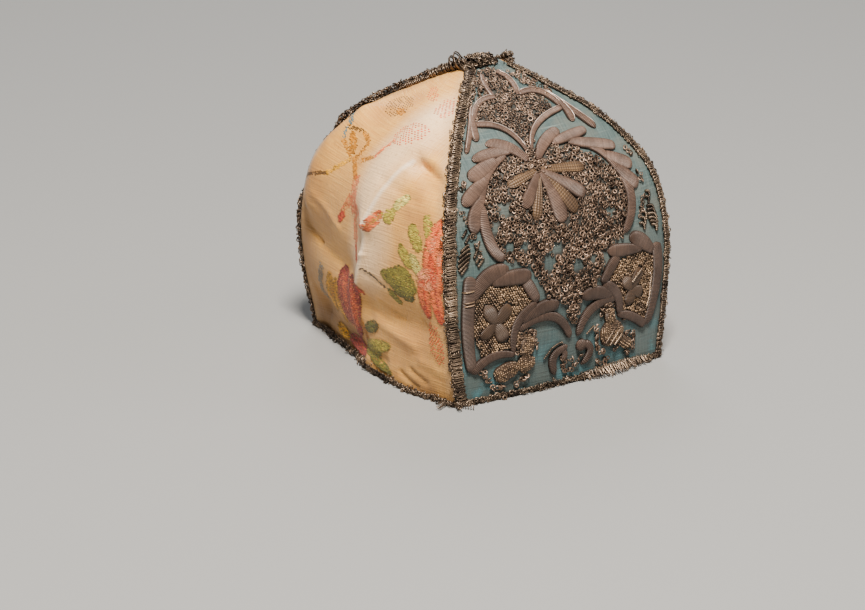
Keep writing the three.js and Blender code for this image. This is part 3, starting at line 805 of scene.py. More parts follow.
def mark_wear(name):
    """Marks the painted highlight along the fold, where the silk has darkened, and where it is dulled beside
    the seams.
    """
    mesh = bpy.data.objects["cream_brocade_" + name].data
    places = flat_places(mesh)
    fold_highlight = near_line(places, FOLD_HIGHLIGHT, FOLD_HIGHLIGHT_FULL, FOLD_HIGHLIGHT_END)
    tanned = np.zeros(len(places))
    for across, up, radius in TANNED:
        gap = np.hypot(places[:, 0] - across, places[:, 1] - up)
        tanned = np.maximum(tanned, np.clip((1 - gap / radius) / TAN_SOFT, 0, 1))
    from_seam = GORES[name].half_at(places[:, 1]) - np.abs(places[:, 0])
    dulled = np.clip(1 - from_seam / DULL_BAND, 0, 1)
    paint(mesh, "worn", fold_highlight, tanned, dulled)


mark_wear("left")
mark_wear("right")
# A pale painted highlight along the sharp crease of the left gore
creased = bpy.data.objects["cream_brocade_left"].data
paint(creased, "crease_highlight", near_line(flat_places(creased), CREASE_HIGHLIGHT, CREASE_HIGHLIGHT_FULL, CREASE_HIGHLIGHT_END))
print(len(TANNED), "dark patches on each brocade gore")

# %% [markdown]
# ## The brocade's figures
# On a brocade the coloured threads lie over the ground as short floats, so each flower is a patch of tiny
# parallel stitches. Petals are leaf-shaped patches between two points, lines are narrow bands, and some
# patches are only a net of dots. Painted colour would be simpler, but real floats stand up from the ground
# and catch the light, so each one is a small raised stitch.

# %% Chart of the figures
DYES = {
    "salmon": (234, 112, 56),
    "coral": (210, 68, 24),
    "pink": (242, 148, 100),
    "rose": (172, 66, 50),
    "orange": (186, 116, 0),
    "gold": (224, 160, 0),
    "drab": (84, 56, 18),
    "olive": (178, 160, 54),
    "pale_green": (206, 190, 96),
    "leaf": (142, 130, 42),
    "moss": (108, 102, 36),
    "blue": (84, 110, 114),
    "dark": (66, 54, 42),
}
FIGURES = [
    # style, from across and up, to across and up, half-width, dye
    ("net", (-16, 104), (-1, 108), 5.4, "drab"),
    ("fill", (-6.4, 104.6), (-0.6, 104.4), 1.5, "orange"),
    ("net", (6, 95), (21, 98.5), 5.0, "coral"),
    ("net", (11, 119), (18, 107), 3.8, "coral"),
    ("net", (-3, 120), (6, 115), 2.4, "coral"),
    ("dots", (-22, 88.5), (-21, 84.5), 0.7, "blue"),
    ("dots", (-21, 84.5), (-13, 80.6), 1.1, "orange"),
    ("dots", (-22, 88.5), (-13, 91), 0.6, "drab"),
    ("dots", (-13, 91), (-7, 88.6), 1.0, "orange"),
    ("dots", (-7, 88.6), (-9.5, 81.5), 1.0, "orange"),
    ("fill", (-18.5, 88.6), (-12.5, 82), 1.9, "orange"),
    ("dots", (-20, 90), (-28, 94), 1.2, "blue"),
    ("line", (-11.5, 81.5), (-4.5, 74.5), 1.2, "orange"),
    ("dots", (-13, 80), (-25, 71), 0.8, "gold"),
    ("dots", (-25, 71), (-46, 63.5), 0.6, "drab"),
    ("net", (-46, 60), (-42, 51), 2.2, "blue"),
    ("dots", (-6, 81.5), (2, 85), 0.8, "orange"),
    ("dots", (2, 85), (9, 93), 0.8, "salmon"),
    ("loose", (-4.5, 76), (-1, 62), 2.6, "coral"),
    ("loose", (-4.5, 68.5), (-11, 59.5), 1.8, "coral"),
    ("fill", (-9, 60.5), (-14, 56), 1.6, "coral"),
    ("loose", (-0.5, 65), (0, 52), 1.6, "coral"),
    ("dots", (0, 52), (2.5, 44.5), 1.0, "coral"),
    ("dots", (0, 66), (10, 60.5), 0.8, "salmon"),
    ("fill", (10, 59), (16.5, 68), 1.8, "salmon"),
    ("dots", (11, 61), (19, 69), 0.5, "olive"),
    ("fill", (18, 64), (22, 70), 2.1, "olive"),
    ("fill", (21.5, 70), (27, 76.5), 1.9, "pale_green"),
    ("fill", (31, 67), (37, 57.5), 2.7, "olive"),
    ("fill", (26, 58), (33, 50.5), 2.4, "olive"),
    ("fill", (32, 56), (38, 49), 2.2, "pale_green"),
    ("fill", (37.5, 72), (41, 63), 1.9, "olive"),
    ("fill", (15.5, 45), (23, 42), 2.4, "leaf"),
    ("fill", (18, 44), (36, 43), 5.0, "leaf"),
    ("fill", (22, 41), (34, 38.5), 3.0, "moss"),
    ("fill", (24, 48.4), (33, 47), 2.4, "leaf"),
    ("fill", (18.5, 38.5), (26, 34), 1.8, "leaf"),
    ("net", (19, 45), (35, 42), 4.4, "olive"),
    ("dots", (4, 43), (17, 38.5), 0.5, "dark"),
    ("fill", (45.5, 72), (41, 50), 3.9, "salmon"),
    ("fill", (48.5, 66), (47.5, 44), 2.6, "salmon"),
    ("fill", (36, 47), (47, 50), 4.2, "pink"),
    ("fill", (38.5, 48), (41, 33), 3.0, "salmon"),
    ("fill", (44.5, 48), (48, 32.5), 2.9, "salmon"),
    ("fill", (39.4, 38), (41, 32.8), 1.5, "coral"),
    ("fill", (45.8, 38.5), (48.2, 32.4), 1.7, "coral"),
    ("fill", (42.5, 58), (45.5, 45), 1.6, "coral"),
    ("line", (44.5, 70), (41.5, 53), 0.4, "coral"),
    ("line", (47.6, 64), (45.6, 48), 0.4, "coral"),
    ("line", (37.5, 46.4), (45.5, 49.4), 0.4, "coral"),
    ("line", (39.5, 47), (41, 35), 0.4, "coral"),
    ("line", (45.5, 47), (47.4, 35), 0.4, "rose"),
    ("fill", (43.4, 66), (42.2, 58), 1.1, "pink"),
    ("fill", (40, 44.6), (44, 46), 1.3, "pink"),
    ("fill", (46.8, 61), (46.4, 54), 0.8, "pink"),
    ("net", (42, 32), (45, 16), 4.2, "coral"),
    ("loose", (-40, 15), (-31, 33), 1.9, "blue"),
    ("fill", (-30, 13), (-24, 32), 3.4, "gold"),
    ("fill", (-22, 11), (-20, 31), 2.6, "gold"),
    ("fill", (-26, 19), (-23, 29), 1.5, "orange"),
    ("fill", (-17, 12), (-12, 38), 5.2, "rose"),
    ("fill", (-11, 8), (-5, 37), 4.6, "rose"),
    ("fill", (-9, 14), (-6, 30), 2.2, "salmon"),
    ("fill", (-14, 20), (-13, 34), 1.8, "salmon"),
    ("net", (-15, 11), (-8, 37), 7.5, "pink"),
    ("fill", (-5, 33), (1.5, 31), 1.7, "coral"),
    ("fill", (-6, 20), (-1, 9), 1.9, "orange"),
    ("fill", (-1.5, 16), (8.5, 21), 2.3, "moss"),
    ("fill", (-4, 8.5), (15.5, 14.5), 2.6, "olive"),
    ("fill", (-5, 7), (9, 9.5), 2.6, "leaf"),
    ("fill", (1, 6), (17, 4), 1.8, "moss"),
    ("fill", (-20, 6), (-3, 5), 2.6, "rose"),
    ("fill", (-31, 7), (-20, 5), 2.2, "gold"),
]
print(len(FIGURES), "patches in a repeat of the pattern")

# %% Weave the floats
STITCHES = {
    # style: pitch up, pitch across, length and width of a stitch
    "fill": (0.36, 1.0, 1.3, 0.34),
    "line": (0.36, 0.9, 1.2, 0.34),
    "dots": (0.5, 0.75, 0.75, 0.4),
    "loose": (0.72, 1.0, 0.62, 0.44),
    "net": (0.85, 1.5, 0.75, 0.44),
}
FLOAT_FOOT, FLOAT_RISE, LATER_RISE = 0.03, 0.16, 0.003
FLOAT_KEPT, FLOAT_STRAY, FLOAT_UNEVEN, FLOAT_STAGGER = 0.86, 0.05, 0.12, 0.37
FLOAT_TONE = (1, 0.3, 0.4, 1.8)
SEAM_MARGIN = 0.8
VEIN, VEIN_SHADE = 0.1, 0.7
PETAL_LIGHT, PETAL_SHADE = 1.1, 0.55

stitch_points, stitch_faces = blank(
    bpy.ops.mesh.primitive_grid_add, x_subdivisions=2, y_subdivisions=2, size=2)


def float_places(style, start, end, half):
    """Where the stitches of one patch lie, and how dark they are: petals have dark edges and a vein."""
    start, end = np.array(start, float), np.array(end, float)
    reach = np.linalg.norm(end - start) / 2
    axis = (end - start) / (2 * reach)
    pitch_up, pitch_across = STITCHES[style][:2]
    middle = (start + end) / 2
    low, high = middle - reach - half, middle + reach + half
    rows = np.arange(np.floor(low[1] / pitch_up), np.ceil(high[1] / pitch_up))
    columns = np.arange(np.floor(low[0] / pitch_across), np.ceil(high[0] / pitch_across))
    row, column = np.meshgrid(rows, columns, indexing="ij")
    stagger = FLOAT_STAGGER * row if style in ("fill", "line") else 0.5 * (row % 2)
    spots = np.stack([(column + stagger % 1) * pitch_across, row * pitch_up], -1).reshape(-1, 2)
    along = (spots - middle) @ axis
    beside = (spots - middle) @ np.array([-axis[1], axis[0]])
    outward = (along / reach) ** 2 + (beside / half) ** 2
    shade = np.ones(len(spots))
    if style in ("line", "dots", "loose"):
        kept = (np.abs(along) < reach) & (np.abs(beside) < half)
    else:
        kept = outward < 1
    if style == "fill":
        shade = PETAL_LIGHT - PETAL_SHADE * np.clip((outward - 0.5) / 0.5, 0, 1)
        shade[np.abs(beside) < VEIN * half] *= VEIN_SHADE
    spots, shade = spots[kept], shade[kept]
    return spots + chance.normal(0, FLOAT_STRAY, spots.shape), shade


def weave(name):
    """All the figures of one brocade gore, the later ones over the earlier."""
    gore, heap, total = GORES[name], Heap(), 0
    for layer, (style, start, end, half, dye) in enumerate(FIGURES):
        spots, shade = float_places(style, start, end, half)
        long, wide = STITCHES[style][2:]
        kept = np.abs(spots[:, 0]) < gore.half_at(spots[:, 1]) - SEAM_MARGIN
        kept &= chance.random(len(spots)) < FLOAT_KEPT
        spots, shade = spots[kept], shade[kept]
        count = len(spots)
        total += count
        if not count:
            continue
        x, y = stitch_points[:, 0], stitch_points[:, 1]
        size = chance.normal(1, FLOAT_UNEVEN, (count, 1))
        across = spots[:, :1] + x * size * long / 2
        up = spots[:, 1:] + y * wide / 2 + x * chance.normal(0, FLOAT_STRAY, (count, 1))
        rise = FLOAT_RISE * (1 - x**4) * (1 - y**2)
        off = FLOAT_FOOT + LATER_RISE * layer + rise + 0 * across
        colour = grey(shade * vary(count, *FLOAT_TONE)) * rgb(*DYES[dye])
        points = gore.lay(across.ravel(), up.ravel(), off.ravel())
        heap.put(points, copies(stitch_faces, count, len(x)), dye=np.repeat(colour, len(x), 0))
    heap.piece("brocade_figures_" + name, float_silk, "cream_brocade")
    print(total, "stitches on the", name, "gore")


weave("left")
weave("right")

# %% [markdown]
# ## Padded embroidery
# The raised leaves and scrolls are metal thread laid over a core of padding, with the thread going
# straight across. Each pad is one rounded blank, stretched along a bent middle line and flattened
# underneath. Simulated cloth suits large cushions, and these pads are narrow and stiff, so they are shaped
# directly. The worn satin has pulled the design out of true, so the chart gives both halves. The back gore
# repeats the front.

# %% Chart of the pads
PAD_RISE = 1.5
RIBBED_RISE = 1.2
PADS = [
    # piece, side, root, middle, tip, width at root, middle and tip
    ("wreath", "left", (-7.6, 88.2), (-13, 95), (-21.2, 98), (2.4, 5.2, 4.4)),
    ("wreath", "left", (-12.8, 93.4), (-21.5, 93.8), (-29.2, 92.2), (2.6, 4.8, 2.8)),
    ("wreath", "left", (-19.6, 91.2), (-28, 87.8), (-33.4, 84.8), (3.0, 5.8, 4.8)),
    ("wreath", "left", (-26.4, 84.6), (-33.3, 80.4), (-39.2, 75.6), (3.0, 5.2, 4.6)),
    ("wreath", "left", (-31.4, 77.2), (-36.2, 71.2), (-36.8, 65), (3.0, 5.2, 4.6)),
    ("wreath", "left", (-15.5, 92.4), (-26.5, 85.2), (-32.6, 74.5), (2.2, 3.0, 2.8)),
    ("wreath", "left", (-32.6, 75.5), (-32.2, 61.6), (-27, 54.4), (3.4, 4.6, 3.6)),
    ("wreath", "right", (-3.4, 88.2), (3, 94.8), (11.6, 98.4), (2.4, 4.8, 3.8)),
    ("wreath", "right", (5.6, 93.6), (15, 95), (23.2, 96), (2.8, 4.6, 3.0)),
    ("wreath", "right", (12.6, 92.8), (23, 89.6), (32.8, 86.6), (3.0, 5.0, 3.8)),
    ("wreath", "right", (25, 84.8), (31.5, 81), (37, 77.4), (3.0, 5.4, 4.4)),
    ("wreath", "right", (28.6, 79.2), (33, 74), (37.4, 69.6), (3.0, 5.6, 4.8)),
    ("wreath", "right", (14, 91.6), (24, 86.6), (29.6, 76.4), (2.2, 3.0, 2.8)),
    ("wreath", "right", (29.6, 77), (32.4, 65), (26.8, 54.2), (3.0, 4.4, 3.2)),
    ("scroll", "left", (-41, 50), (-42.3, 31), (-40, 12.6), (5.2, 5.0, 4.2)),
    ("scroll", "left", (-40.2, 12.2), (-32, 17.8), (-22.6, 16.8), (3.6, 3.6, 2.0)),
    ("scroll", "left", (-41, 40.4), (-34.8, 48.6), (-25.6, 50.8), (2.8, 6.2, 4.0)),
    ("scroll", "left", (-33.4, 46.4), (-24.4, 47.4), (-16.6, 46.8), (2.8, 6.0, 5.0)),
    ("scroll", "left", (-19.6, 45.6), (-17, 41.2), (-14, 36.2), (4.4, 4.6, 3.0)),
    ("scroll", "left", (-14.4, 36.2), (-22.6, 29.2), (-23.4, 17.4), (3.0, 3.6, 1.8)),
    ("scroll", "left", (-22.2, 26.2), (-8, 29.6), (1.2, 18.8), (2.4, 3.8, 2.6)),
    ("scroll", "left", (-21, 29.4), (-12, 33.8), (-4.6, 33), (2.4, 5.4, 3.6)),
    ("scroll", "right", (43, 46.6), (44, 32), (38.6, 15), (5.4, 5.0, 3.6)),
    ("scroll", "right", (38.4, 15), (30.6, 20.8), (23.4, 23.2), (3.4, 3.8, 2.4)),
    ("scroll", "right", (41.8, 43.6), (35, 49.6), (29.6, 51.4), (3.0, 6.2, 4.2)),
    ("scroll", "right", (35.6, 46.6), (26.8, 48), (18.2, 49.2), (2.4, 4.8, 5.0)),
    ("scroll", "right", (23.2, 47.2), (18.4, 42), (15.4, 37.4), (4.0, 4.4, 3.0)),
    ("scroll", "right", (15.8, 37.2), (22.6, 31.6), (24.3, 22.8), (4.0, 4.2, 2.6)),
    ("scroll", "right", (22.4, 30.2), (10.4, 28.6), (4.6, 18.8), (2.6, 4.0, 2.6)),
    ("scroll", "right", (20.6, 31.4), (12.4, 34.6), (5.4, 34), (2.4, 5.6, 3.4)),
    ("curl", "left", (0.4, 15.8), (-5.8, 12.6), (-4.2, 4.8), (2.2, 3.4, 2.6)),
    ("curl", "left", (-2.4, 14.8), (-0.9, 12.6), (-2, 9.8), (2.2, 2.6, 2.0)),
    ("curl", "right", (8, 15.6), (11, 11.4), (7.4, 6.4), (3.0, 3.2, 2.2)),
    ("curl", "right", (4.8, 16.2), (6.8, 14.6), (8.6, 12.6), (4.0, 4.8, 3.6)),
    ("crest", "left", (-6.2, 92.4), (-11, 103), (-21.4, 106.9), (1.6, 2.4, 3.2)),
    ("crest", "left", (-5.6, 117.8), (-13.8, 116.4), (-20.2, 109.2), (2.4, 2.6, 2.4)),
    ("crest", "left", (-17.6, 115), (-22.9, 106.8), (-30.2, 95.6), (2.0, 2.2, 2.0)),
    ("crest", "left", (-19.8, 112), (-22.4, 105.8), (-24, 99.8), (2.2, 3.2, 3.4)),
    ("crest", "left", (-4.8, 130), (-6.8, 124.4), (-6.4, 117.6), (1.8, 2.2, 2.2)),
    ("crest", "right", (-3.9, 92.8), (3.6, 102.4), (18.4, 107), (1.6, 2.6, 2.6)),
    ("crest", "right", (4.8, 117.2), (13.6, 116), (18.2, 107.4), (2.8, 3.0, 2.4)),
    ("crest", "right", (15.4, 116), (20.4, 107), (28, 95.6), (2.2, 2.8, 3.2)),
    ("crest", "right", (18, 112), (19.4, 106), (19.4, 100.2), (2.2, 3.0, 4.0)),
    ("crest", "right", (1.6, 130), (4.6, 124.4), (4.2, 117), (1.8, 2.6, 2.4)),
]
GILT_PADS = [
    # the same columns
    ("flower", "left", (-30.8, 30.4), (-33.4, 34.6), (-35.2, 38.4), (2.2, 5.4, 4.6)),
    ("flower", "left", (-31.2, 30.4), (-28.2, 34.2), (-26.2, 37.6), (2.2, 5.2, 4.6)),
    ("flower", "left", (-31.2, 31.2), (-29, 26.8), (-27.4, 23), (2.2, 5.6, 4.4)),
    ("flower", "left", (-30.8, 31.2), (-34, 28.2), (-36.8, 25.2), (2.0, 4.4, 4.2)),
    ("flower", "right", (30.5, 31.6), (27.9, 34.8), (26, 37.6), (2.2, 5.2, 4.4)),
    ("flower", "right", (29.9, 31.6), (32.5, 35.7), (34.8, 39.4), (2.2, 4.8, 4.0)),
    ("flower", "right", (29.8, 32.3), (33.3, 30.3), (36.4, 28.8), (2.2, 5.0, 4.0)),
    ("flower", "right", (30.4, 32.4), (29.5, 28.8), (28.6, 25.4), (2.2, 5.2, 4.0)),
    ("bud", "left", (-31, 9.2), (-26, 10.8), (-20.6, 12.2), (5.4, 7.2, 6.6)),
    ("bud", "left", (-21.4, 12.2), (-17.6, 12.6), (-13.8, 12.8), (6.6, 7.6, 6.0)),
    ("bud", "left", (-18.2, 15.4), (-18, 20.2), (-17.8, 24.4), (5.0, 6.6, 5.2)),
    ("bud", "right", (15.6, 17), (21.2, 16.4), (27, 15.4), (8.0, 11.0, 8.0)),
    ("bud", "right", (20, 20.6), (19.5, 24), (18.6, 27.2), (4.0, 5.0, 4.0)),
    ("bud", "right", (24.6, 13.6), (28, 11), (31.2, 8.6), (4.0, 4.6, 3.6)),
]
FAN_HUB, FAN_ROOT, FAN_MIDDLE = np.array([-5.0, 84.5]), 1.0, 0.52
FAN = [
    # angle from straight down, length, root width, tip width, ribbed
    (-75.0, 15.2, 2.6, 4.8, True),
    (-39.5, 17.0, 2.0, 6.0, False),
    (-21.5, 19.5, 1.8, 5.2, True),
    (12.0, 21.4, 2.2, 7.8, False),
    (32.0, 21.4, 2.0, 6.8, True),
    (52.5, 21.0, 2.2, 6.6, False),
    (83.0, 20.4, 2.6, 5.2, True),
]
SIDES = {"right": 1, "left": -1}
print(len(PADS) + len(GILT_PADS) + len(FAN), "pads on each teal gore")

# %% Line, width and height of a pad
ROUND_ROOT, ROUND_TIP = 0.4, 0.8
# Powers that square a pad's section, and that bring its ends down
PAD_SQUARE, PAD_TOP, PAD_END = 0.6, 0.42, 0.7
PAD_UNDER = -0.1
NARROW_SHARE, FULL_HALF, LIFT_LIMIT = 0.6, 2.2, 1.1
pad_points, pad_faces = blank(
    bpy.ops.mesh.primitive_uv_sphere_add, segments=16, ring_count=26, radius=1)
print(len(pad_faces), "faces in a pad")


def pad_line(root, middle, tip, t):
    """Points and headings of a pad's bent middle line."""
    root, middle, tip = (np.array(p, float) for p in (root, middle, tip))
    pull = 2 * middle - (root + tip) / 2
    t = t[:, None]
    spots = (1 - t) ** 2 * root + 2 * t * (1 - t) * pull + t**2 * tip
    ahead = 2 * (1 - t) * (pull - root) + 2 * t * (tip - pull)
    return spots, ahead / np.linalg.norm(ahead, axis=1, keepdims=True)


def pad_half(root, tip, widths, t):
    """Half-width along a pad, and the share of it that is left where the ends round off."""
    at_root, at_middle, at_tip = widths
    width = at_root * (1 - t) * (1 - 2 * t) + 4 * at_middle * t * (1 - t) + at_tip * t * (2 * t - 1)
    length = np.linalg.norm(np.subtract(tip, root))
    left = np.ones(len(t))
    for rounding, gap in ((ROUND_ROOT * at_root, t * length), (ROUND_TIP * at_tip, (1 - t) * length)):
        left *= np.sqrt(1 - (1 - np.clip(gap / rounding, 0, 1)) ** 2)
    return width / 2 * left, left


def pad_lift(half, left, rise=PAD_RISE):
    """Height of a pad's back: narrow pads and rounded ends lie lower."""
    width_share = np.clip(half / FULL_HALF, 0, LIFT_LIMIT)
    return rise * left**PAD_END * (NARROW_SHARE + (1 - NARROW_SHARE) * width_share)


def beside_line(spots, ahead, beside):
    """Places across and up, so far to the left of a heading."""
    return spots[:, 0] - ahead[:, 1] * beside, spots[:, 1] + ahead[:, 0] * beside


# %% Lay the pads


def lay_pad(heap, gore, root, middle, tip, widths, rise=PAD_RISE):
    """Stretches the round blank along a pad's line and lays it on the cloth."""
    t = (1 + pad_points[:, 2]) / 2
    ring = np.sqrt(np.clip(1 - pad_points[:, 2] ** 2, 1e-9, 1))
    cosine, sine = pad_points[:, 0] / ring, pad_points[:, 1] / ring
    spots, ahead = pad_line(root, middle, tip, t)
    half, left = pad_half(root, tip, widths, t)
    beside = np.sign(cosine) * np.abs(cosine) ** PAD_SQUARE * half
    off = np.where(sine > 0, np.abs(sine) ** PAD_TOP * pad_lift(half, left, rise), PAD_UNDER)
    across, up = beside_line(spots, ahead, beside)
    length = np.linalg.norm(np.subtract(tip, root))
    heap.put(gore.lay(across, up, off), pad_faces, np.stack([t * length, cosine], 1))


def fan_petal(angle, length, root_width, tip_width):
    turn = np.radians(angle)
    heading = np.array([np.sin(turn), -np.cos(turn)])
    root, tip = FAN_HUB + FAN_ROOT * heading, FAN_HUB + length * heading
    widths = root_width, FAN_MIDDLE * (root_width + tip_width), tip_width
    return root, (root + tip) / 2, tip, widths


def pads_piece(chart, material, slot, name, face, word):
    heap = Heap()
    for row in chart:
        if row[:2] == (name, word):
            lay_pad(heap, GORES[face], *row[2:])
    made = heap.piece(f"{name}_pads_{face}_{word}", material, slot, [f"{name}_{face}_{word}"])


for face in ("front", "back"):
    for word in SIDES:
        for name in ("crest", "curl", "scroll", "wreath"):
            pads_piece(PADS, silver, "silver_thread", name, face, word)
        for name in ("bud", "flower"):
            pads_piece(GILT_PADS, gilt, "gilt_thread", name, face, word)
    plain, ribs = Heap(), Heap()
    for *petal, is_ribbed in FAN:
        if is_ribbed:
            lay_pad(ribs, GORES[face], *fan_petal(*petal), rise=RIBBED_RISE)
        else:
            lay_pad(plain, GORES[face], *fan_petal(*petal))
    made = plain.piece(f"fan_petals_{face}", silver, "silver_thread", [f"fan_{face}"])
    ribs.piece(f"fan_ribbed_{face}", ribbed, "gilt_thread")

# %% [markdown]
# ## Loops and seeds of wire
# The spaces between the pads are crusted with purl, a fine coiled wire cut into loops, and the lower
# cartouches are sown with gilt chips. Places are chosen on a jittered grid, kept inside a drawn field, and
# dropped where a pad lies. A particle system could scatter them too, but a seeded generator puts each loop
# in the same place on every run.

# %% Fields and free places
# Right halves of the fields, across and up
HEART = [(0, 92), (10, 92.5), (18, 91), (25, 86), (29.5, 80), (31.5, 72), (31, 62), (26, 53), (17, 50.5),
         (14, 44), (11, 37), (4, 34), (2, 27), (0, 22)]
CREST = [(0, 134), (5, 131), (5, 119), (13, 116), (18, 110), (16, 107), (8, 104), (3, 95), (1, 90), (0, 90)]
CARTOUCHE = [(40.5, 42), (35, 45.5), (24, 45), (18.5, 41), (16.5, 36.5), (21.5, 32), (23.5, 25), (23.5, 20),
             (32, 19.5), (39, 16.5), (42, 28)]
# How far the middle line of the fields wanders across, by height
FIELD_UP = (0, 15, 45, 60, 75, 88, 100, 118, 137)
FIELD_ACROSS = (2.5, 3.0, 0.8, -0.5, -1.6, -4.8, -4.0, -1.4, -0.8)
BARE = [
    # across, up, radius of patches where the loops have worn away
    (-24.3, 72, 2.6), (-29, 66, 1.8), (-24.7, 58.7, 2.2), (-18.7, 58, 1.8), (-8.6, 50.6, 3.2),
    (4, 47.5, 2.6), (22, 63.4, 2.0), (11, 48, 1.8), (-5, 55, 2.2),
]
FIELD_TOP, FIELD_HALF, ROW_SHARE = 137, 52, 0.87
# Raggedness of the worn patches, and the share of painted shade left in them
BARE_RAGGED, BARE_SHADE_LEFT = 0.15, 0.35


def inside(field, across, up):
    """Which places lie in a field that is drawn as its right half."""
    x, y = np.array(field, float).T
    beside = np.abs(across - np.interp(up, FIELD_UP, FIELD_ACROSS))
    kept = np.zeros(across.shape, bool)
    for x0, y0, x1, y1 in zip(x, y, np.roll(x, -1), np.roll(y, -1)):
        crosses = (y0 > up) != (y1 > up)
        edge = x0 + (up - y0) * (x1 - x0) / (y1 - y0 if y1 != y0 else 1e-9)
        kept ^= crosses & (beside < edge)
    return kept


def pad_outlines():
    """Middle-line points of every pad with the half-width there."""
    t = np.linspace(0.02, 0.98, 25)
    pads = [row[2:] for row in PADS + GILT_PADS] + [fan_petal(*row[:4]) for row in FAN]
    marks = []
    for root, middle, tip, widths in pads:
        line, half = pad_line(root, middle, tip, t)[0], pad_half(root, tip, widths, t)[0]
        marks.append(np.column_stack([line, half]))
    return np.concatenate(marks)


OUTLINES = pad_outlines()


def free_places(field, pitch, jitter, clear, bare=()):
    """Chance places in a field, off the pads and out of the worn patches."""
    rows = np.arange(0, FIELD_TOP, ROW_SHARE * pitch)
    columns = np.arange(-FIELD_HALF, FIELD_HALF, pitch)
    up, across = np.meshgrid(rows, columns, indexing="ij")
    across = across + 0.5 * pitch * (np.arange(len(rows)) % 2)[:, None]
    across = (across + chance.normal(0, jitter, across.shape)).ravel()
    up = (up + chance.normal(0, jitter, up.shape)).ravel()
    kept = inside(field, across, up)
    across, up = across[kept], up[kept]
    gap = np.hypot(across[:, None] - OUTLINES[:, 0], up[:, None] - OUTLINES[:, 1]) - OUTLINES[:, 2]
    kept = gap.min(1) > clear
    for bare_across, bare_up, radius in bare:
        ragged = radius * chance.normal(1, BARE_RAGGED, len(up))
        kept &= np.hypot(across - bare_across, up - bare_up) > ragged
    return across[kept], up[kept]


print(len(OUTLINES), "points mark where the pads lie")

# %% Paint shade on the satin under the loops
LOOP_SHADE_BLUR = 0.8


def mark_loop_shade(name):
    """Marks the cloth under the loops, where painted shade darkens the satin between them."""
    mesh = bpy.data.objects["teal_satin_" + name].data
    across, up = flat_places(mesh).T
    share = np.zeros(len(up))
    corners = ((1, 1), (1, -1), (-1, 1), (-1, -1))
    for step_across, step_up in corners:
        spot = across + LOOP_SHADE_BLUR * step_across, up + LOOP_SHADE_BLUR * step_up
        loop_shade = inside(HEART, *spot) | inside(CREST, *spot) | inside(CARTOUCHE, *spot)
        share += loop_shade / len(corners)
    for bare_across, bare_up, radius in BARE:
        share *= np.where(np.hypot(across - bare_across, up - bare_up) < radius, BARE_SHADE_LEFT, 1.0)
    paint(mesh, "loop_shade", share)


mark_loop_shade("front")
mark_loop_shade("back")
print("worked ground marked on both teal gores")

# %% Blanks of a loop and a seed
ring_points, ring_faces = blank(
    bpy.ops.mesh.primitive_torus_add,
    major_segments=8, minor_segments=3, major_radius=1.0, minor_radius=0.38)
seed_points, seed_faces = blank(bpy.ops.mesh.primitive_ico_sphere_add, subdivisions=1, radius=1)
print(len(ring_faces), "faces in a loop and", len(seed_faces), "in a seed")


def turned(points, count, tilt):
    """Copies of a blank, each spun and tipped by its own chance angle."""
    spin, heading = chance.uniform(0, 2 * np.pi, (2, count))
    tip = chance.normal(0, tilt, count)
    x, y, z = points.T
    a = x * np.cos(spin)[:, None] - y * np.sin(spin)[:, None]
    b = x * np.sin(spin)[:, None] + y * np.cos(spin)[:, None]
    lean = a * np.sin(tip)[:, None] + z * np.cos(tip)[:, None]
    flat = a * np.cos(tip)[:, None] - z * np.sin(tip)[:, None]
    c, s = np.cos(heading)[:, None], np.sin(heading)[:, None]
    return flat * c - b * s, flat * s + b * c, lean


# %% Scatter copies on a gore
SCATTER_SIZE, SCATTER_TONE = (1, 0.14, 0.7, 1.4), (0.95, 0.32, 0.35, 1.7)
SCATTER_BOB, SCATTER_FOOT = 0.12, 0.05


def scatter(heap, gore, places, points, faces, size, off, tilt):
    """Copies of a blank at places on the flat, each with its own size, turn and tone."""
    across, up = places
    count = len(across)
    scale = (size * vary(count, *SCATTER_SIZE))[:, None]
    a, b, lean = turned(points, count, tilt)
    across = across[:, None] + a * scale
    bob = chance.normal(0, SCATTER_BOB, count)[:, None]
    height = np.maximum(off + lean * scale + bob, SCATTER_FOOT)
    up = up[:, None] + b * scale
    dye = grey(vary(count, *SCATTER_TONE), len(points))
    laid = gore.lay(across.ravel(), up.ravel(), height.ravel())
    heap.put(laid, copies(faces, count, len(points)), dye=dye)


# %% Seeds on the buds
SEED_PITCH, SEED_REACH = 0.8, 0.88
SEED_SIZE, SEED_TILT, SEED_CURVE = 0.4, 0.3, 0.3


def seed_pad(heap, gore, root, middle, tip, widths):
    """Rows of seeds over a pad, which give the buds their chequered look."""
    length = np.linalg.norm(np.subtract(tip, root))
    rows = int(widths[1] / SEED_PITCH)
    along = np.arange(0.5, length, SEED_PITCH) / length
    t, share = np.meshgrid(along, np.linspace(-SEED_REACH, SEED_REACH, rows), indexing="ij")
    t, share = t.ravel(), share.ravel()
    spots, ahead = pad_line(root, middle, tip, t)
    half, left = pad_half(root, tip, widths, t)
    places = beside_line(spots, ahead, half * share)
    off = PAD_RISE * left**PAD_END * (1 - share**2) ** SEED_CURVE
    scatter(heap, gore, places, seed_points, seed_faces, SEED_SIZE, off[:, None], SEED_TILT)


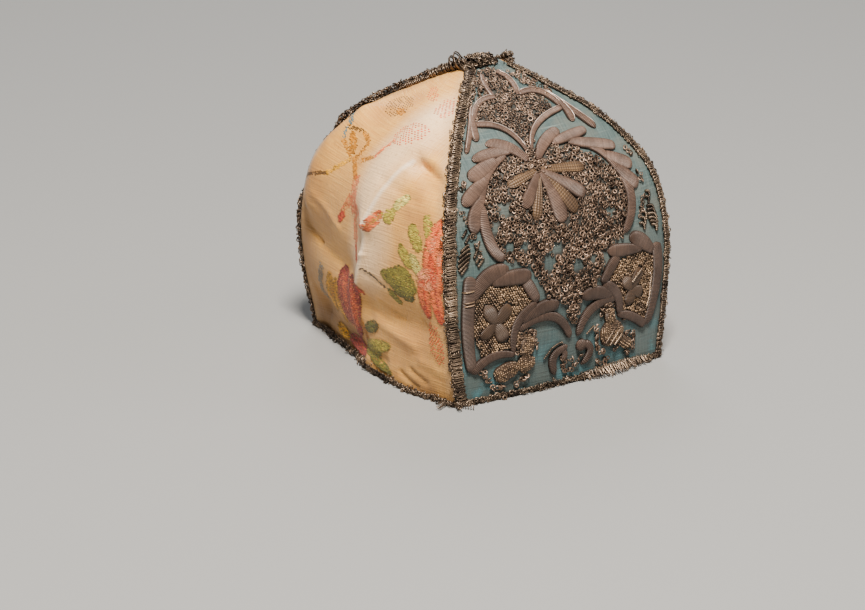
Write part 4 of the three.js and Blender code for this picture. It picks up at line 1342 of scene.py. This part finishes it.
# %% Chart of the loops
TRAILS = [
    # loops in a line round the buds, at leaf tips, in the curls, by the crest and at the fan's hub
    [(-36, 12.7), (-34, 8.7), (-30.7, 5.3), (-25.3, 4.7)],
    [(-22, 4.7), (-19, 7.6), (-16, 7)],
    [(-21.6, 17), (-21.4, 21.5), (-20, 25), (-17, 26), (-14.4, 23), (-14.2, 18)],
    [(13.8, 21), (13.6, 15), (15.3, 10.4), (19, 9)],
    [(15.3, 6.5), (18, 4.6), (20, 6)],
    [(24, 8.6), (28, 14.4), (31, 14.6), (32.7, 12), (31.6, 7), (27.6, 6.8)],
    [(16.4, 24.8), (15.8, 27.6), (18.6, 28.6), (22, 27.6)],
    [(38.6, 74.6), (39.6, 70.6)],
    [(-40.4, 73.6), (-39.6, 69.4)],
    [(36.4, 84.6), (38.8, 81.4)],
    [(-35.6, 84.4), (-38.4, 81.2)],
    [(38.6, 66), (37.6, 62.6), (36, 58)],
    [(-38.4, 66), (-37.6, 62), (-36, 57.6)],
    [(-9, 86.4), (-6, 87.4), (-2, 87), (-0.6, 84.8), (-4, 83), (-8, 83.6)],
    [(-1.6, 12.4), (-2, 8.6), (0.6, 6), (3.6, 6.4), (6, 9), (7.2, 11.6)],
    [(1.4, 9.6), (3.4, 11.4)],
    [(-15.6, 113), (-12.4, 118), (-9.6, 124), (-7, 129)],
    [(-12.4, 114.6), (-9.6, 120), (-7, 126)],
    [(13, 116), (11, 120.6), (8.2, 126), (6.4, 129)],
    [(15.4, 113.6), (12.6, 119), (9.6, 124)],
    [(-18.6, 115), (-15.2, 119.4), (-11.8, 124.6), (-9, 129)],
    [(17.8, 114.6), (15, 119.6), (11.8, 124.6), (8.8, 129)],
]
TRAIL_PITCH, TRAIL_STRAY = 0.95, 0.5
LOOP_LAYERS = [
    # field, worn patches, pitch, jitter, clear of the pads, size, height, tilt
    (HEART, BARE, 1.8, 0.3, -0.2, 0.74, 0.6, 0.55),
    (HEART, BARE, 2.8, 0.8, 0.1, 0.62, 1.2, 0.9),
    (CREST, [], 1.7, 0.28, -0.1, 0.7, 0.6, 0.55),
]
# size, height and tilt
TRAIL_LOOP, CHIP = (0.72, 0.8, 0.7), (0.48, 0.45, 0.4)
CHIP_PITCH, CHIP_JITTER, CHIP_CLEAR = 0.94, 0.09, -0.2


def trail_places():
    """Places along the trails, a little astray."""
    spots = []
    for line in TRAILS:
        line = np.array(line, float)
        reach = np.concatenate([[0], np.cumsum(np.linalg.norm(np.diff(line, axis=0), axis=1))])
        steps = np.arange(0, reach[-1], TRAIL_PITCH)
        spots.append(np.column_stack([np.interp(steps, reach, axis) for axis in line.T]))
    spots = np.concatenate(spots)
    return (spots + chance.normal(0, TRAIL_STRAY, spots.shape)).T


print(len(TRAILS), "trails and", len(LOOP_LAYERS), "layers of loops")

# %% Crust the teal gores
for face in ("front", "back"):
    gore, loops, seeds = GORES[face], Heap(), Heap()
    for field, bare, pitch, jitter, clear, size, off, tilt in LOOP_LAYERS:
        places = free_places(field, pitch, jitter, clear, bare)
        scatter(loops, gore, places, ring_points, ring_faces, size, off, tilt)
    scatter(loops, gore, trail_places(), ring_points, ring_faces, *TRAIL_LOOP)
    loops.piece(f"purl_loops_{face}", purl_wire, "silver_thread")
    places = free_places(CARTOUCHE, CHIP_PITCH, CHIP_JITTER, CHIP_CLEAR)
    scatter(seeds, gore, places, seed_points, seed_faces, *CHIP)
    for row in GILT_PADS:
        if row[0] == "bud":
            seed_pad(seeds, gore, *row[2:])
    seeds.piece(f"gilt_seeds_{face}", seed_gilt, "gilt_thread")

# %% [markdown]
# ## Lengths of purl
# Here and there longer pieces of coiled wire are sewn down as small sprays, beside the leaves and round the
# buds. A coil seen from this distance is a ribbed tube.

# %% Sew down the sprays
COIL_RADIUS, SINGLE_RADIUS, COIL_RIB = 0.5, 0.36, 0.5
COIL_STATIONS, COIL_SWELL, COIL_BOW = 4, 0.3, 0.8
SPRAY_OFF, SPRAY_TONES = 0.5, (0.35, 0.8)
SPRAYS = [
    # from across and up, to across and up, on both sides
    ((40.2, 61.4), (43.6, 59.4)), ((40, 60), (44.4, 57.6)), ((40, 58.4), (45, 55.8)),
    ((40.4, 56.8), (45.2, 54)), ((41, 55.4), (45, 52.4)), ((41.8, 54), (44.4, 51)),
    ((37.6, 60), (39, 56.4)), ((36.4, 58), (38.4, 54.6)), ((35.4, 56), (37.8, 53)),
    ((39.8, 65), (41.4, 62.4)), ((40.4, 67), (42.2, 64.6)),
]
SINGLE_COILS = [
    # from across and up, to across and up, height over the cloth, tone
    ((-10.2, 12.7), (-6.9, 16.6), 0.6, 0.6),
    ((-7, 16.4), (-2.2, 17.7), 0.6, 0.6),
    ((8.7, 18.8), (12, 21.2), 0.6, 0.8),
    ((39.7, 36), (40, 30.7), 0.9, 1.9),
    ((40, 30.7), (38.7, 22.7), 0.9, 1.9),
    ((29.5, 35), (34.7, 39.3), 1.7, 1.6),
    ((17.4, 13.4), (21.4, 18.8), 1.8, 1.8),
    ((19.6, 12.2), (24, 17.6), 1.8, 1.6),
    ((22, 11.6), (25.6, 15.8), 1.7, 1.8),
]


def put_tube(heap, gore, path, across, thick, sides=6, tone=1.0):
    """A tube in one tone of grey, from the flat on to a gore."""
    points, faces = tube(path, across, thick, sides)
    heap.put(gore.lay(*points.T), faces, dye=grey([tone], len(points)))


def spray(heap, gore, start, end, off, tone, thick):
    """One length of purl: a ribbed tube with a slight bow."""
    ribs = np.hypot(*np.subtract(end, start)) / COIL_RIB
    stations = np.linspace(0, 1, int(ribs * COIL_STATIONS) + 2)
    bow = COIL_BOW * np.sin(np.pi * stations)
    across = start[0] + (end[0] - start[0]) * stations + bow
    up = start[1] + (end[1] - start[1]) * stations + bow
    path = np.column_stack([across, up, off + 0 * up])
    radius = thick * (1 + COIL_SWELL * np.sin(2 * np.pi * np.arange(len(path)) / COIL_STATIONS))
    put_tube(heap, gore, path, radius, radius, tone=tone)


for face in ("front", "back"):
    heap = Heap()
    for start, end in SPRAYS:
        for side in SIDES.values():
            tone = chance.uniform(*SPRAY_TONES)
            ends = (side * start[0], start[1]), (side * end[0], end[1])
            spray(heap, GORES[face], *ends, SPRAY_OFF, tone, COIL_RADIUS)
    for start, end, off, tone in SINGLE_COILS:
        spray(heap, GORES[face], start, end, off, tone, SINGLE_RADIUS)
    heap.piece(f"purl_sprays_{face}", lace_wire, "metal_lace")

# %% [markdown]
# ## Metal lace
# The lace over each seam is a narrow band of wire that runs back and forth across it, with small loops at
# its edges. It could be woven thread by thread. At this distance two crossing wires with loops over a dark
# strip of painted shade, which stands for the shade under the lace, give the same glitter with far fewer
# faces.

# %% Chart of the seam lace
LACE_EDGE, LACE_PITCH, LACE_OFF, LACE_START = 0.2, 1.5, 0.9, 0.9
WIRE, WIRE_ROLL, WIRE_STATIONS = 0.24, 0.3, 10
LACE_FOOT, LACE_UNEVEN, LACE_SWAY = 0.6, 0.14, 0.3
LACE_WIDTHS = {"left": 4.0, "right": 2.1}
PICOT_PITCH, PICOT_SIZE = 1.0, 0.48
STRAY_UP, STRAY_INSET, STRAY_OFF = 0.22, 0.3, 0.15
LOOP_SIZE, LOOP_FOOT = (1, 0.22, 0.6, 1.6), 0.2
LOOP_WANDER, LOOP_RANGE = 0.35, (0.25, 1.7)
TONE_STEPS = 90
# Height, width share and thickness of the dark strip of painted shade under the lace
SHADE_STRIP_OFF, SHADE_STRIP_SHARE, SHADE_STRIP_THICK = 0.35, 0.45, 0.28
# Inset, radius and share of the rise of the thin dark strip of painted shade at the seam edge
EDGE_INSET, EDGE_RADIUS, EDGE_SHARE = 0.6, 0.3, 0.5
SEAM_LACE_TOP, STRIP_FOOT, STRIP_STATIONS = 133.0, 0.5, 110
LIFTS = {
    # rise of the seam edge below, at and above the shoulder, and slip of the lace from the seam there
    "front_right": (0.3, 0.3, 0.3, 0.0),
    "front_left": (0.0, 0.0, 0.0, 0.0),
    "back_right": (0.8, -0.2, 2.2, 2.0),
    "back_left": (0.4, 0.4, 0.4, 0.0),
}
SHOULDER_UP = (52, 60, 84, 90)
HIGH_LIFT = 1.0
PICOT_ROWS = [
    # share of the width from the seam, then a distance, height, tilt, size of the loops, share of the rise
    (0.0, -0.1, 0.3, 0.9, 1.1, 1.0),
    (0.0, 0.3, 0.9, 0.9, 1.15, 1.0),
    (0.5, 0.0, 0.9, 0.5, 0.9, 1.0),
    (1.0, -0.2, 0.9, 0.5, 1.0, 1.0),
]
UNDER_ROWS = [
    # the same columns, to close the gap under lace that stands high
    (0.0, -0.2, 0.2, 0.9, 1.2, 0.6),
    (0.0, -0.1, 0.1, 0.9, 1.2, 0.2),
]
print(len(PICOT_ROWS), "rows of loops on each seam")

# %% Wires and loops on a gore


def meander(turns, phase, reach, wander):
    """Turns so far, angle and uneven reach along a wire that goes back and forth."""
    t = np.linspace(0, turns, WIRE_STATIONS * turns + 1)
    uneven = np.interp(t, np.arange(turns + 1), chance.normal(1, wander, turns + 1))
    return t, 2 * np.pi * (t + phase), reach * uneven


def wire_dye(count, low, high):
    """Tones that change along a wire."""
    tones = chance.uniform(low, high, TONE_STEPS + 1)
    return grey(np.interp(np.linspace(0, TONE_STEPS, count), np.arange(TONE_STEPS + 1), tones))


def put_wire(heap, gore, path, radius, sides=5, low=0.35, high=1.5):
    """A wire from the flat on to a gore, with tones that change along it."""
    points, faces = tube(path, radius, radius, sides)
    heap.put(gore.lay(*points.T), faces, dye=wire_dye(len(points), low, high))


def put_loops(heap, gore, across, up, off, size, tilt, shade=0.9):
    """Small closed loops at places given on the flat."""
    count = len(across)
    a, b, lean = turned(ring_points, count, tilt)
    scale = (size * vary(count, *LOOP_SIZE))[:, None]
    a, b, lean = across[:, None] + a * scale, up[:, None] + b * scale, off[:, None] + lean * scale
    dye = grey(vary(count, shade, LOOP_WANDER, *LOOP_RANGE), len(ring_points))
    points = gore.lay(a.ravel(), np.maximum(b, LOOP_FOOT).ravel(), lean.ravel())
    heap.put(points, copies(ring_faces, count, len(ring_points)), dye=dye)


# %% Lace on the seams


def seam_lace(face, word):
    """Two crossing wires, rows of loops and a dark strip of painted shade along one seam."""
    gore, side, width = GORES[face], SIDES[word], LACE_WIDTHS[word]
    low, shoulder, high, slip = LIFTS[f"{face}_{word}"]
    wires, ground = Heap(), Heap()

    def placed(inset, up, off, share=1.0):
        """Points of the lace on the flat, from their distance to the seam and a share of its rise."""
        lift = share * np.interp(up, SHOULDER_UP, (low, shoulder, shoulder, high))
        stand = lift * (1 - np.clip(inset / width, 0, 1))
        inset = inset + np.interp(up, SHOULDER_UP, (0, slip, slip, 0))
        return side * (gore.half_at(up) - inset), up, off + stand

    turns = int(SEAM_LACE_TOP / LACE_PITCH)
    for phase in (0.0, 0.5):
        t, angle, reach = meander(turns, phase, width / 2, LACE_UNEVEN)
        sway = np.interp(t, np.arange(turns + 1), chance.normal(0, LACE_SWAY, turns + 1))
        up = LACE_START + t * LACE_PITCH + WIRE_ROLL * np.sin(2 * angle) + sway
        inset = LACE_EDGE + width / 2 + reach * np.cos(angle)
        off = LACE_OFF + WIRE_ROLL * np.sin(angle)
        put_wire(wires, gore, np.column_stack(placed(inset, np.maximum(up, LACE_FOOT), off)), WIRE)
    rows = PICOT_ROWS + (UNDER_ROWS if high > HIGH_LIFT else [])
    for width_share, beyond, off_at, tilt, size, share in rows:
        up = np.arange(LACE_START, SEAM_LACE_TOP + 1, PICOT_PITCH)
        up = up + chance.normal(0, STRAY_UP, len(up))
        inset = width_share * width + beyond + chance.normal(0, STRAY_INSET, len(up))
        off = off_at + chance.normal(0, STRAY_OFF, len(up))
        put_loops(wires, gore, *placed(inset, up, off, share), size * PICOT_SIZE, tilt)
    # A dark strip of painted shade under the lace, and a thin one along the seam edge where lifted lace
    # leaves a gap
    up = np.linspace(STRIP_FOOT, SEAM_LACE_TOP, STRIP_STATIONS)
    strip = np.column_stack(placed(LACE_EDGE + width / 2 + 0 * up, up, SHADE_STRIP_OFF))
    put_tube(ground, gore, strip, SHADE_STRIP_SHARE * width, SHADE_STRIP_THICK)
    edge = np.column_stack(placed(EDGE_INSET + 0 * up, up, 0.0, EDGE_SHARE))
    put_tube(ground, gore, edge, EDGE_RADIUS, EDGE_RADIUS + edge[:, 2])
    wires.piece(f"seam_wire_{face}_{word}", lace_wire, "metal_lace", [f"seam_lace_{face}_{word}"])
    ground.piece(f"seam_shade_strip_{face}_{word}", lace_shade_strip, "metal_lace")


for face in ("front", "back"):
    for word in SIDES:
        seam_lace(face, word)

# %% [markdown]
# ## The rim
# The rim has the same lace turned on its side. Its loops are clumped and dull, and at the right of each
# teal gore the threads have come loose and flare out. The helpers of the seam lace serve here too, with the
# wire going along the rim and its turns going up and down.

# %% Lace on the rim
RIM_HEIGHTS = {"front": 1.9, "back": 1.9, "left": 1.7, "right": 1.7}
RIM_END, RIM_FOOT, RIM_ROLL = 0.3, 0.4, 0.35
RIM_UNEVEN, RIM_TONES, RIM_SHADE, RIM_TILT = 0.3, (0.25, 1.0), 0.7, 0.9
RIM_SLANT, RIM_STRAY, RIM_RAGGED = 0.4, 0.3, 0.2
RIM_LOW, RIM_LOOP_FOOT, RIM_LOOP_OFF, RIM_LOOP_STAND = 0.5, 0.6, 0.8, 0.6
RIM_CLUMPS, RIM_CLUMP = 24, (0.5, 1.7)
# Width share, thickness and stations of the dark strip of painted shade under the rim lace
RIM_STRIP_SHARE, RIM_STRIP_THICK, RIM_STRIP_STATIONS = 0.42, 0.26, 90
RIM_ROWS = [
    # share of the height, size of the loops
    (0.25, 1.2),
    (0.6, 1.1),
    (0.9, 1.0),
]


def rim_lace(face):
    """One wire, clumped rows of loops and a dark strip of painted shade along the rim of a gore."""
    gore, heap, ground, height = GORES[face], Heap(), Heap(), RIM_HEIGHTS[face]
    width, middle = gore.half_at(0.0) - RIM_END, RIM_FOOT + height / 2
    turns = int(2 * width / LACE_PITCH)
    t, angle, reach = meander(turns, 0.0, height / 2, RIM_UNEVEN)
    across = -width + 2 * width * t / turns + RIM_SLANT * np.sin(2 * angle)
    up = np.maximum(middle + reach * np.cos(angle), RIM_LOW)
    path = np.column_stack([across, up, LACE_OFF + RIM_ROLL * np.sin(angle)])
    put_wire(heap, gore, path, WIRE, 5, *RIM_TONES)
    for level, size in RIM_ROWS:
        across = np.arange(-width, width, PICOT_PITCH)
        across = across + chance.normal(0, RIM_STRAY, len(across))
        clumps = chance.uniform(*RIM_CLUMP, RIM_CLUMPS)
        clump = np.interp(across, np.linspace(-width, width, RIM_CLUMPS), clumps)
        ragged = chance.normal(1, RIM_RAGGED, len(across))
        up = RIM_LOOP_FOOT + level * height * clump * ragged
        stand = np.abs(chance.normal(0, RIM_LOOP_STAND, len(across)))
        off = RIM_LOOP_OFF + stand * clump
        put_loops(heap, gore, across, up, off, size * PICOT_SIZE, RIM_TILT, RIM_SHADE)
    # A dark strip of painted shade under the rim lace
    across = np.linspace(-width, width, RIM_STRIP_STATIONS)
    strip = np.column_stack([across, middle + 0 * across, SHADE_STRIP_OFF + 0 * across])
    put_tube(ground, gore, strip, RIM_STRIP_SHARE * height, RIM_STRIP_THICK)
    heap.piece(f"rim_wire_{face}", lace_wire, "metal_lace", [f"rim_lace_{face}"])
    ground.piece(f"rim_shade_strip_{face}", lace_shade_strip, "metal_lace")


for face in GORES:
    rim_lace(face)

# %% Loose threads of the rim
RUFFLE_FROM, RUFFLE_TO, RUFFLE_PITCH, RUFFLE_WIRE = 6.0, 40.0, 0.4, 0.17
RUFFLE_TOP, RUFFLE_RISE, RUFFLE_FLARE = 2.2, 2.0, 3.2
RUFFLE_TONES, RUFFLE_STATIONS = (0.4, 1.9), 5
RUFFLE_LOWER, RUFFLE_RAGGED, RUFFLE_DRIFT = 1.2, 0.2, 0.7
RUFFLE_ROOT, RUFFLE_OUT, RUFFLE_UNEVEN = 1.1, 1.4, 0.22


def ruffle(face):
    """Threads of lace that have come loose and flare out from the rim."""
    heap = Heap()
    for across in np.arange(RUFFLE_FROM, RUFFLE_TO, RUFFLE_PITCH):
        share = np.sin(np.pi * (across - RUFFLE_FROM) / (RUFFLE_TO - RUFFLE_FROM)) ** 0.5
        foot = RIM_FOOT + chance.uniform(0, RUFFLE_LOWER)
        top = RUFFLE_TOP + RUFFLE_RISE * share + chance.normal(0, RUFFLE_RAGGED)
        flare = RUFFLE_OUT + RUFFLE_FLARE * share * chance.normal(1, RUFFLE_UNEVEN)
        drift = chance.normal(0, RUFFLE_DRIFT)
        ends = np.array([(across, top, RUFFLE_ROOT), (across + drift, foot, flare)])
        path = np.linspace(*ends, RUFFLE_STATIONS)
        tone = chance.uniform(*RUFFLE_TONES)
        put_tube(heap, GORES[face], path, RUFFLE_WIRE, RUFFLE_WIRE, 4, tone)
    heap.piece(f"rim_ruffle_{face}", lace_wire, "metal_lace")


ruffle("front")
ruffle("back")

# %% [markdown]
# ## Bands and highlight cords
# Three bright bands are bound round the bar of the left scroll. Along the outer shoulder of each crest pad a
# thin bright tube carries a painted highlight. It follows the pad's own middle line, moved sideways by a
# share of the half-width, and shows as a thin white line. Both are thin enough for the helper that makes the
# lace wires.

# %% Bands on the left scroll bar
BANDS = [
    # up, brightness
    (39.4, 2.4),
    (40.6, 1.5),
    (44.6, 1.3),
]
BAND_ACROSS, BAND_HALF, BAND_RADIUS = -42.0, 2.5, 0.24
BAND_FOOT, BAND_SLANT, BAND_SHADE = 0.3, 0.2, 0.8

for face in ("front", "back"):
    heap = Heap()
    for up, bright in BANDS:
        reach = np.linspace(-1, 1, 13)
        off = BAND_FOOT + PAD_RISE * (1 - np.abs(reach) ** 4)
        path = np.column_stack([BAND_ACROSS + BAND_HALF * reach, up + BAND_SLANT * reach, off])
        put_wire(heap, GORES[face], path, BAND_RADIUS, 4, BAND_SHADE * bright, bright)
    heap.piece(f"bar_bands_{face}", seed_gilt, "gilt_thread")

# %% Painted highlight cords on the crest
# Place, size and tones of the painted highlight tube on each crest pad
CORD_BESIDE, CORD_RADIUS, CORD_PROUD = 0.6, 0.2, 0.06
CORD_DARK, CORD_BRIGHT = 0.45, 1.1
along_cord = np.linspace(0.05, 0.95, 20)

for face in ("front", "back"):
    heap = Heap()
    for piece, word, root, middle, tip, widths in PADS:
        if piece == "crest":
            spots, ahead = pad_line(root, middle, tip, along_cord)
            half, left = pad_half(root, tip, widths, along_cord)
            places = beside_line(spots, ahead, SIDES[word] * CORD_BESIDE * half)
            path = np.column_stack([*places, pad_lift(half, left) + CORD_PROUD])
            put_wire(heap, GORES[face], path, CORD_RADIUS, 4, CORD_DARK, CORD_BRIGHT)
    heap.piece(f"crest_cords_{face}", highlight_cord, "silver_thread")
print("cords on", sum(row[0] == "crest" for row in PADS), "crest pads of each teal gore")

# %% [markdown]
# ## The crown
# At the top the two teal gores meet in a short ridge under a heap of lace, and a dark knot stands at its
# right end. Coils of wire have sprung loose along the far left seam and at the near corner of the rim. These
# wires cross from one gore to the next, so they are placed in space and not on the flat.

# %% Lace on the ridge
RIDGE_FROM, RIDGE_TO, RIDGE_TURNS = -10.5, 5.0, 10
RIDGE_REACH, RIDGE_OFF, RIDGE_WIRE = 3.2, 1.1, 0.3
RIDGE_UNEVEN, RIDGE_SLANT, RIDGE_ROLL = 0.15, 0.5, 0.4
RIDGE_GROUND_OFF, RIDGE_GROUND_HALF, RIDGE_GROUND_THICK = 0.2, 3.0, 0.9
RIDGE_GROUND = (0.3, 0.28, 0.26, 1.0)
HEAP_SIZE, HEAP_TONE, HEAP_TILT = (1, 0.25, 0.6, 1.6), (0.8, 0.35, 0.25, 1.5), 0.9
HEAP_STRAY = 1.8
RIDGE_HEAPS = [
    # loops, middle, spread along x and y, lowest, highest, size
    (150, (-2.5, 0.0), 3.4, 1.7, 0.5, 2.4, 0.72),
    (90, (-2.2, -0.3), 2.2, 1.5, 1.8, 3.5, 0.7),
]


def crown_height(x, y):
    """Height of the cap near the top, as the lower of its two roofs."""
    row = section(np.linspace(1.0, 0.55, 200))
    teal = np.interp(np.abs(y), row[:, SIDE_HALF] + row[:, FRONT_BOW], row[:, HEIGHT])
    brocade = np.interp(np.abs(x), row[:, FRONT_HALF] + row[:, SIDE_BOW], row[:, HEIGHT])
    return np.minimum(teal, brocade)


def free_wire(heap, path, radius, sides=5, low=0.6, high=1.2):
    """A wire that stands free of the gores, its path given in the frame."""
    points, faces = tube(path, radius, radius, sides)
    heap.put(points, faces, dye=wire_dye(len(points), low, high))


def heap_of_loops(heap, count, middle, spread_x, spread_y, low, high, size):
    """Loops thrown on the crown, each tipped its own way."""
    strays = chance.normal(0, 1, (2, count)).clip(-HEAP_STRAY, HEAP_STRAY)
    x, y = middle[0] + spread_x * strays[0], middle[1] + spread_y * strays[1]
    a, b, lean = turned(ring_points, count, HEAP_TILT)
    scale = (size * vary(count, *HEAP_SIZE))[:, None]
    z = crown_height(x, y) + chance.uniform(low, high, count)
    points = np.stack([x[:, None] + a * scale, y[:, None] + b * scale, z[:, None] + lean * scale], -1)
    dye = grey(vary(count, *HEAP_TONE), len(ring_points))
    heap.put(points, copies(ring_faces, count, len(ring_points)), dye=dye)


ridge = Heap()
for phase in (0.0, 0.5):
    t, angle, reach = meander(RIDGE_TURNS, phase, RIDGE_REACH, RIDGE_UNEVEN)
    x = RIDGE_FROM + (RIDGE_TO - RIDGE_FROM) * t / RIDGE_TURNS + RIDGE_SLANT * np.sin(2 * angle)
    y = reach * np.cos(angle)
    z = crown_height(x, y) + RIDGE_OFF + RIDGE_ROLL * np.sin(angle)
    free_wire(ridge, np.column_stack([x, y, z]), RIDGE_WIRE)
for row in RIDGE_HEAPS:
    heap_of_loops(ridge, *row)
x = np.linspace(RIDGE_FROM, RIDGE_TO, 24)
strip = np.column_stack([x, 0 * x, crown_height(x, 0 * x) + RIDGE_GROUND_OFF])
points, faces = tube(strip, RIDGE_GROUND_HALF, RIDGE_GROUND_THICK, 8)
ridge.put(points, faces, dye=np.tile(RIDGE_GROUND, (len(points), 1)))
ridge.piece("ridge_lace", lace_wire, "metal_lace", ["crown_lace"])

# %% Knot at the end of the ridge
KNOT_X, KNOT_Y, KNOT_STRAY = 11.2, 0.0, 0.8
KNOT_LOOPS, KNOT_WIRE, KNOT_TONES = 46, 0.27, (0.25, 0.75)
KNOT_TURN, KNOT_RADIUS = (4.2, 6.0), (0.7, 1.5)
KNOT_TIP, KNOT_RISE = (0.3, 1.4), (0.6, 3.4)
# loops, middle, spread along x and y, lowest, highest, size
KNOT_HEAP = (50, (KNOT_X, KNOT_Y), 0.9, 0.8, 0.4, 3.2, 0.65)
FULL_TURN = 6.3

knot = Heap()
heap_of_loops(knot, *KNOT_HEAP)
for _ in range(KNOT_LOOPS):
    turn = np.linspace(0, chance.uniform(*KNOT_TURN), 14)
    radius = chance.uniform(*KNOT_RADIUS)
    start, lean = chance.uniform(0, FULL_TURN, 2)
    tip = chance.uniform(*KNOT_TIP)
    a, b = radius * np.cos(turn + start), radius * np.sin(turn + start)
    x = KNOT_X + chance.normal(0, KNOT_STRAY) + a * np.cos(lean) - b * np.cos(tip) * np.sin(lean)
    y = KNOT_Y + chance.normal(0, KNOT_STRAY) + a * np.sin(lean) + b * np.cos(tip) * np.cos(lean)
    z = crown_height(x, y).mean() + chance.uniform(*KNOT_RISE) + b * np.sin(tip)
    free_wire(knot, np.column_stack([x, y, z]), KNOT_WIRE, 4, *KNOT_TONES)
knot.piece("crown_knot", lace_wire, "metal_lace", ["crown_tuft"])

# %% Sprung wire
FRINGE_WIRE, FRINGE_UNEVEN, FRINGE_STATIONS = 0.27, 0.22, 12
FRINGE_OUT, FRINGE_UP, FRINGE_LIFT = 0.5, 0.8, 0.9
FRINGE = [
    # from and to along the far left seam, radius of the coil, turns
    (0.86, 0.975, 1.5, 18),
    (0.76, 0.87, 1.1, 20),
    (0.925, 0.985, 2.3, 9),
]
SPRING_WIRE, SPRING_TURNS, SPRING_ASKEW = 0.2, 5, (0.3, 0.2, 0.9)
SPRINGS = [
    # foot, tip, radius of the coil
    ((-46, -52, 1.6), (-47.5, -56, 2.2), 0.8),
    ((-45, -53, 1.6), (-42, -57, 1.6), 0.7),
    ((-49, -48, 1.6), (-53, -50, 1.8), 0.8),
]

springs = Heap()
for foot, tip, radius in SPRINGS:
    foot, along = np.array(foot, float), np.subtract(tip, foot)
    t = np.linspace(0, 1, 61)[:, None]
    ahead = along / np.linalg.norm(along)
    side = np.cross(ahead, SPRING_ASKEW)
    side /= np.linalg.norm(side)
    turn = 2 * np.pi * SPRING_TURNS * t
    coil = side * np.cos(turn) + np.cross(side, ahead) * np.sin(turn)
    free_wire(springs, foot + along * t + radius * coil, SPRING_WIRE, 4)
for start, end, radius, turns in FRINGE:
    up = np.linspace(start, end, FRINGE_STATIONS * turns + 1)
    seam = seam_point("far_left", up)
    out = seam * (1, 1, 0)
    out = FRINGE_OUT * out / np.linalg.norm(out, axis=1, keepdims=True) + (0, 0, FRINGE_UP)
    level = np.cross(np.gradient(seam, axis=0), out)
    level /= np.linalg.norm(level, axis=1, keepdims=True)
    turn = 2 * np.pi * turns * np.linspace(0, 1, len(up))
    sizes = radius * chance.normal(1, FRINGE_UNEVEN, turns + 1)
    uneven = np.interp(turn, np.linspace(0, turn[-1], turns + 1), sizes)
    coil = out * (FRINGE_LIFT + np.sin(turn))[:, None] + level * np.cos(turn)[:, None]
    free_wire(springs, seam + uneven[:, None] * coil, FRINGE_WIRE)
springs.piece("sprung_wire", lace_wire, "metal_lace")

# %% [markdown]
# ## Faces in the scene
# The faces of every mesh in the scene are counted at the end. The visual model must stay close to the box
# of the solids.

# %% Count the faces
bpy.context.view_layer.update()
faces = sum(len(o.data.polygons) for o in bpy.data.objects if o.type == "MESH")
print(faces, "faces in the scene")
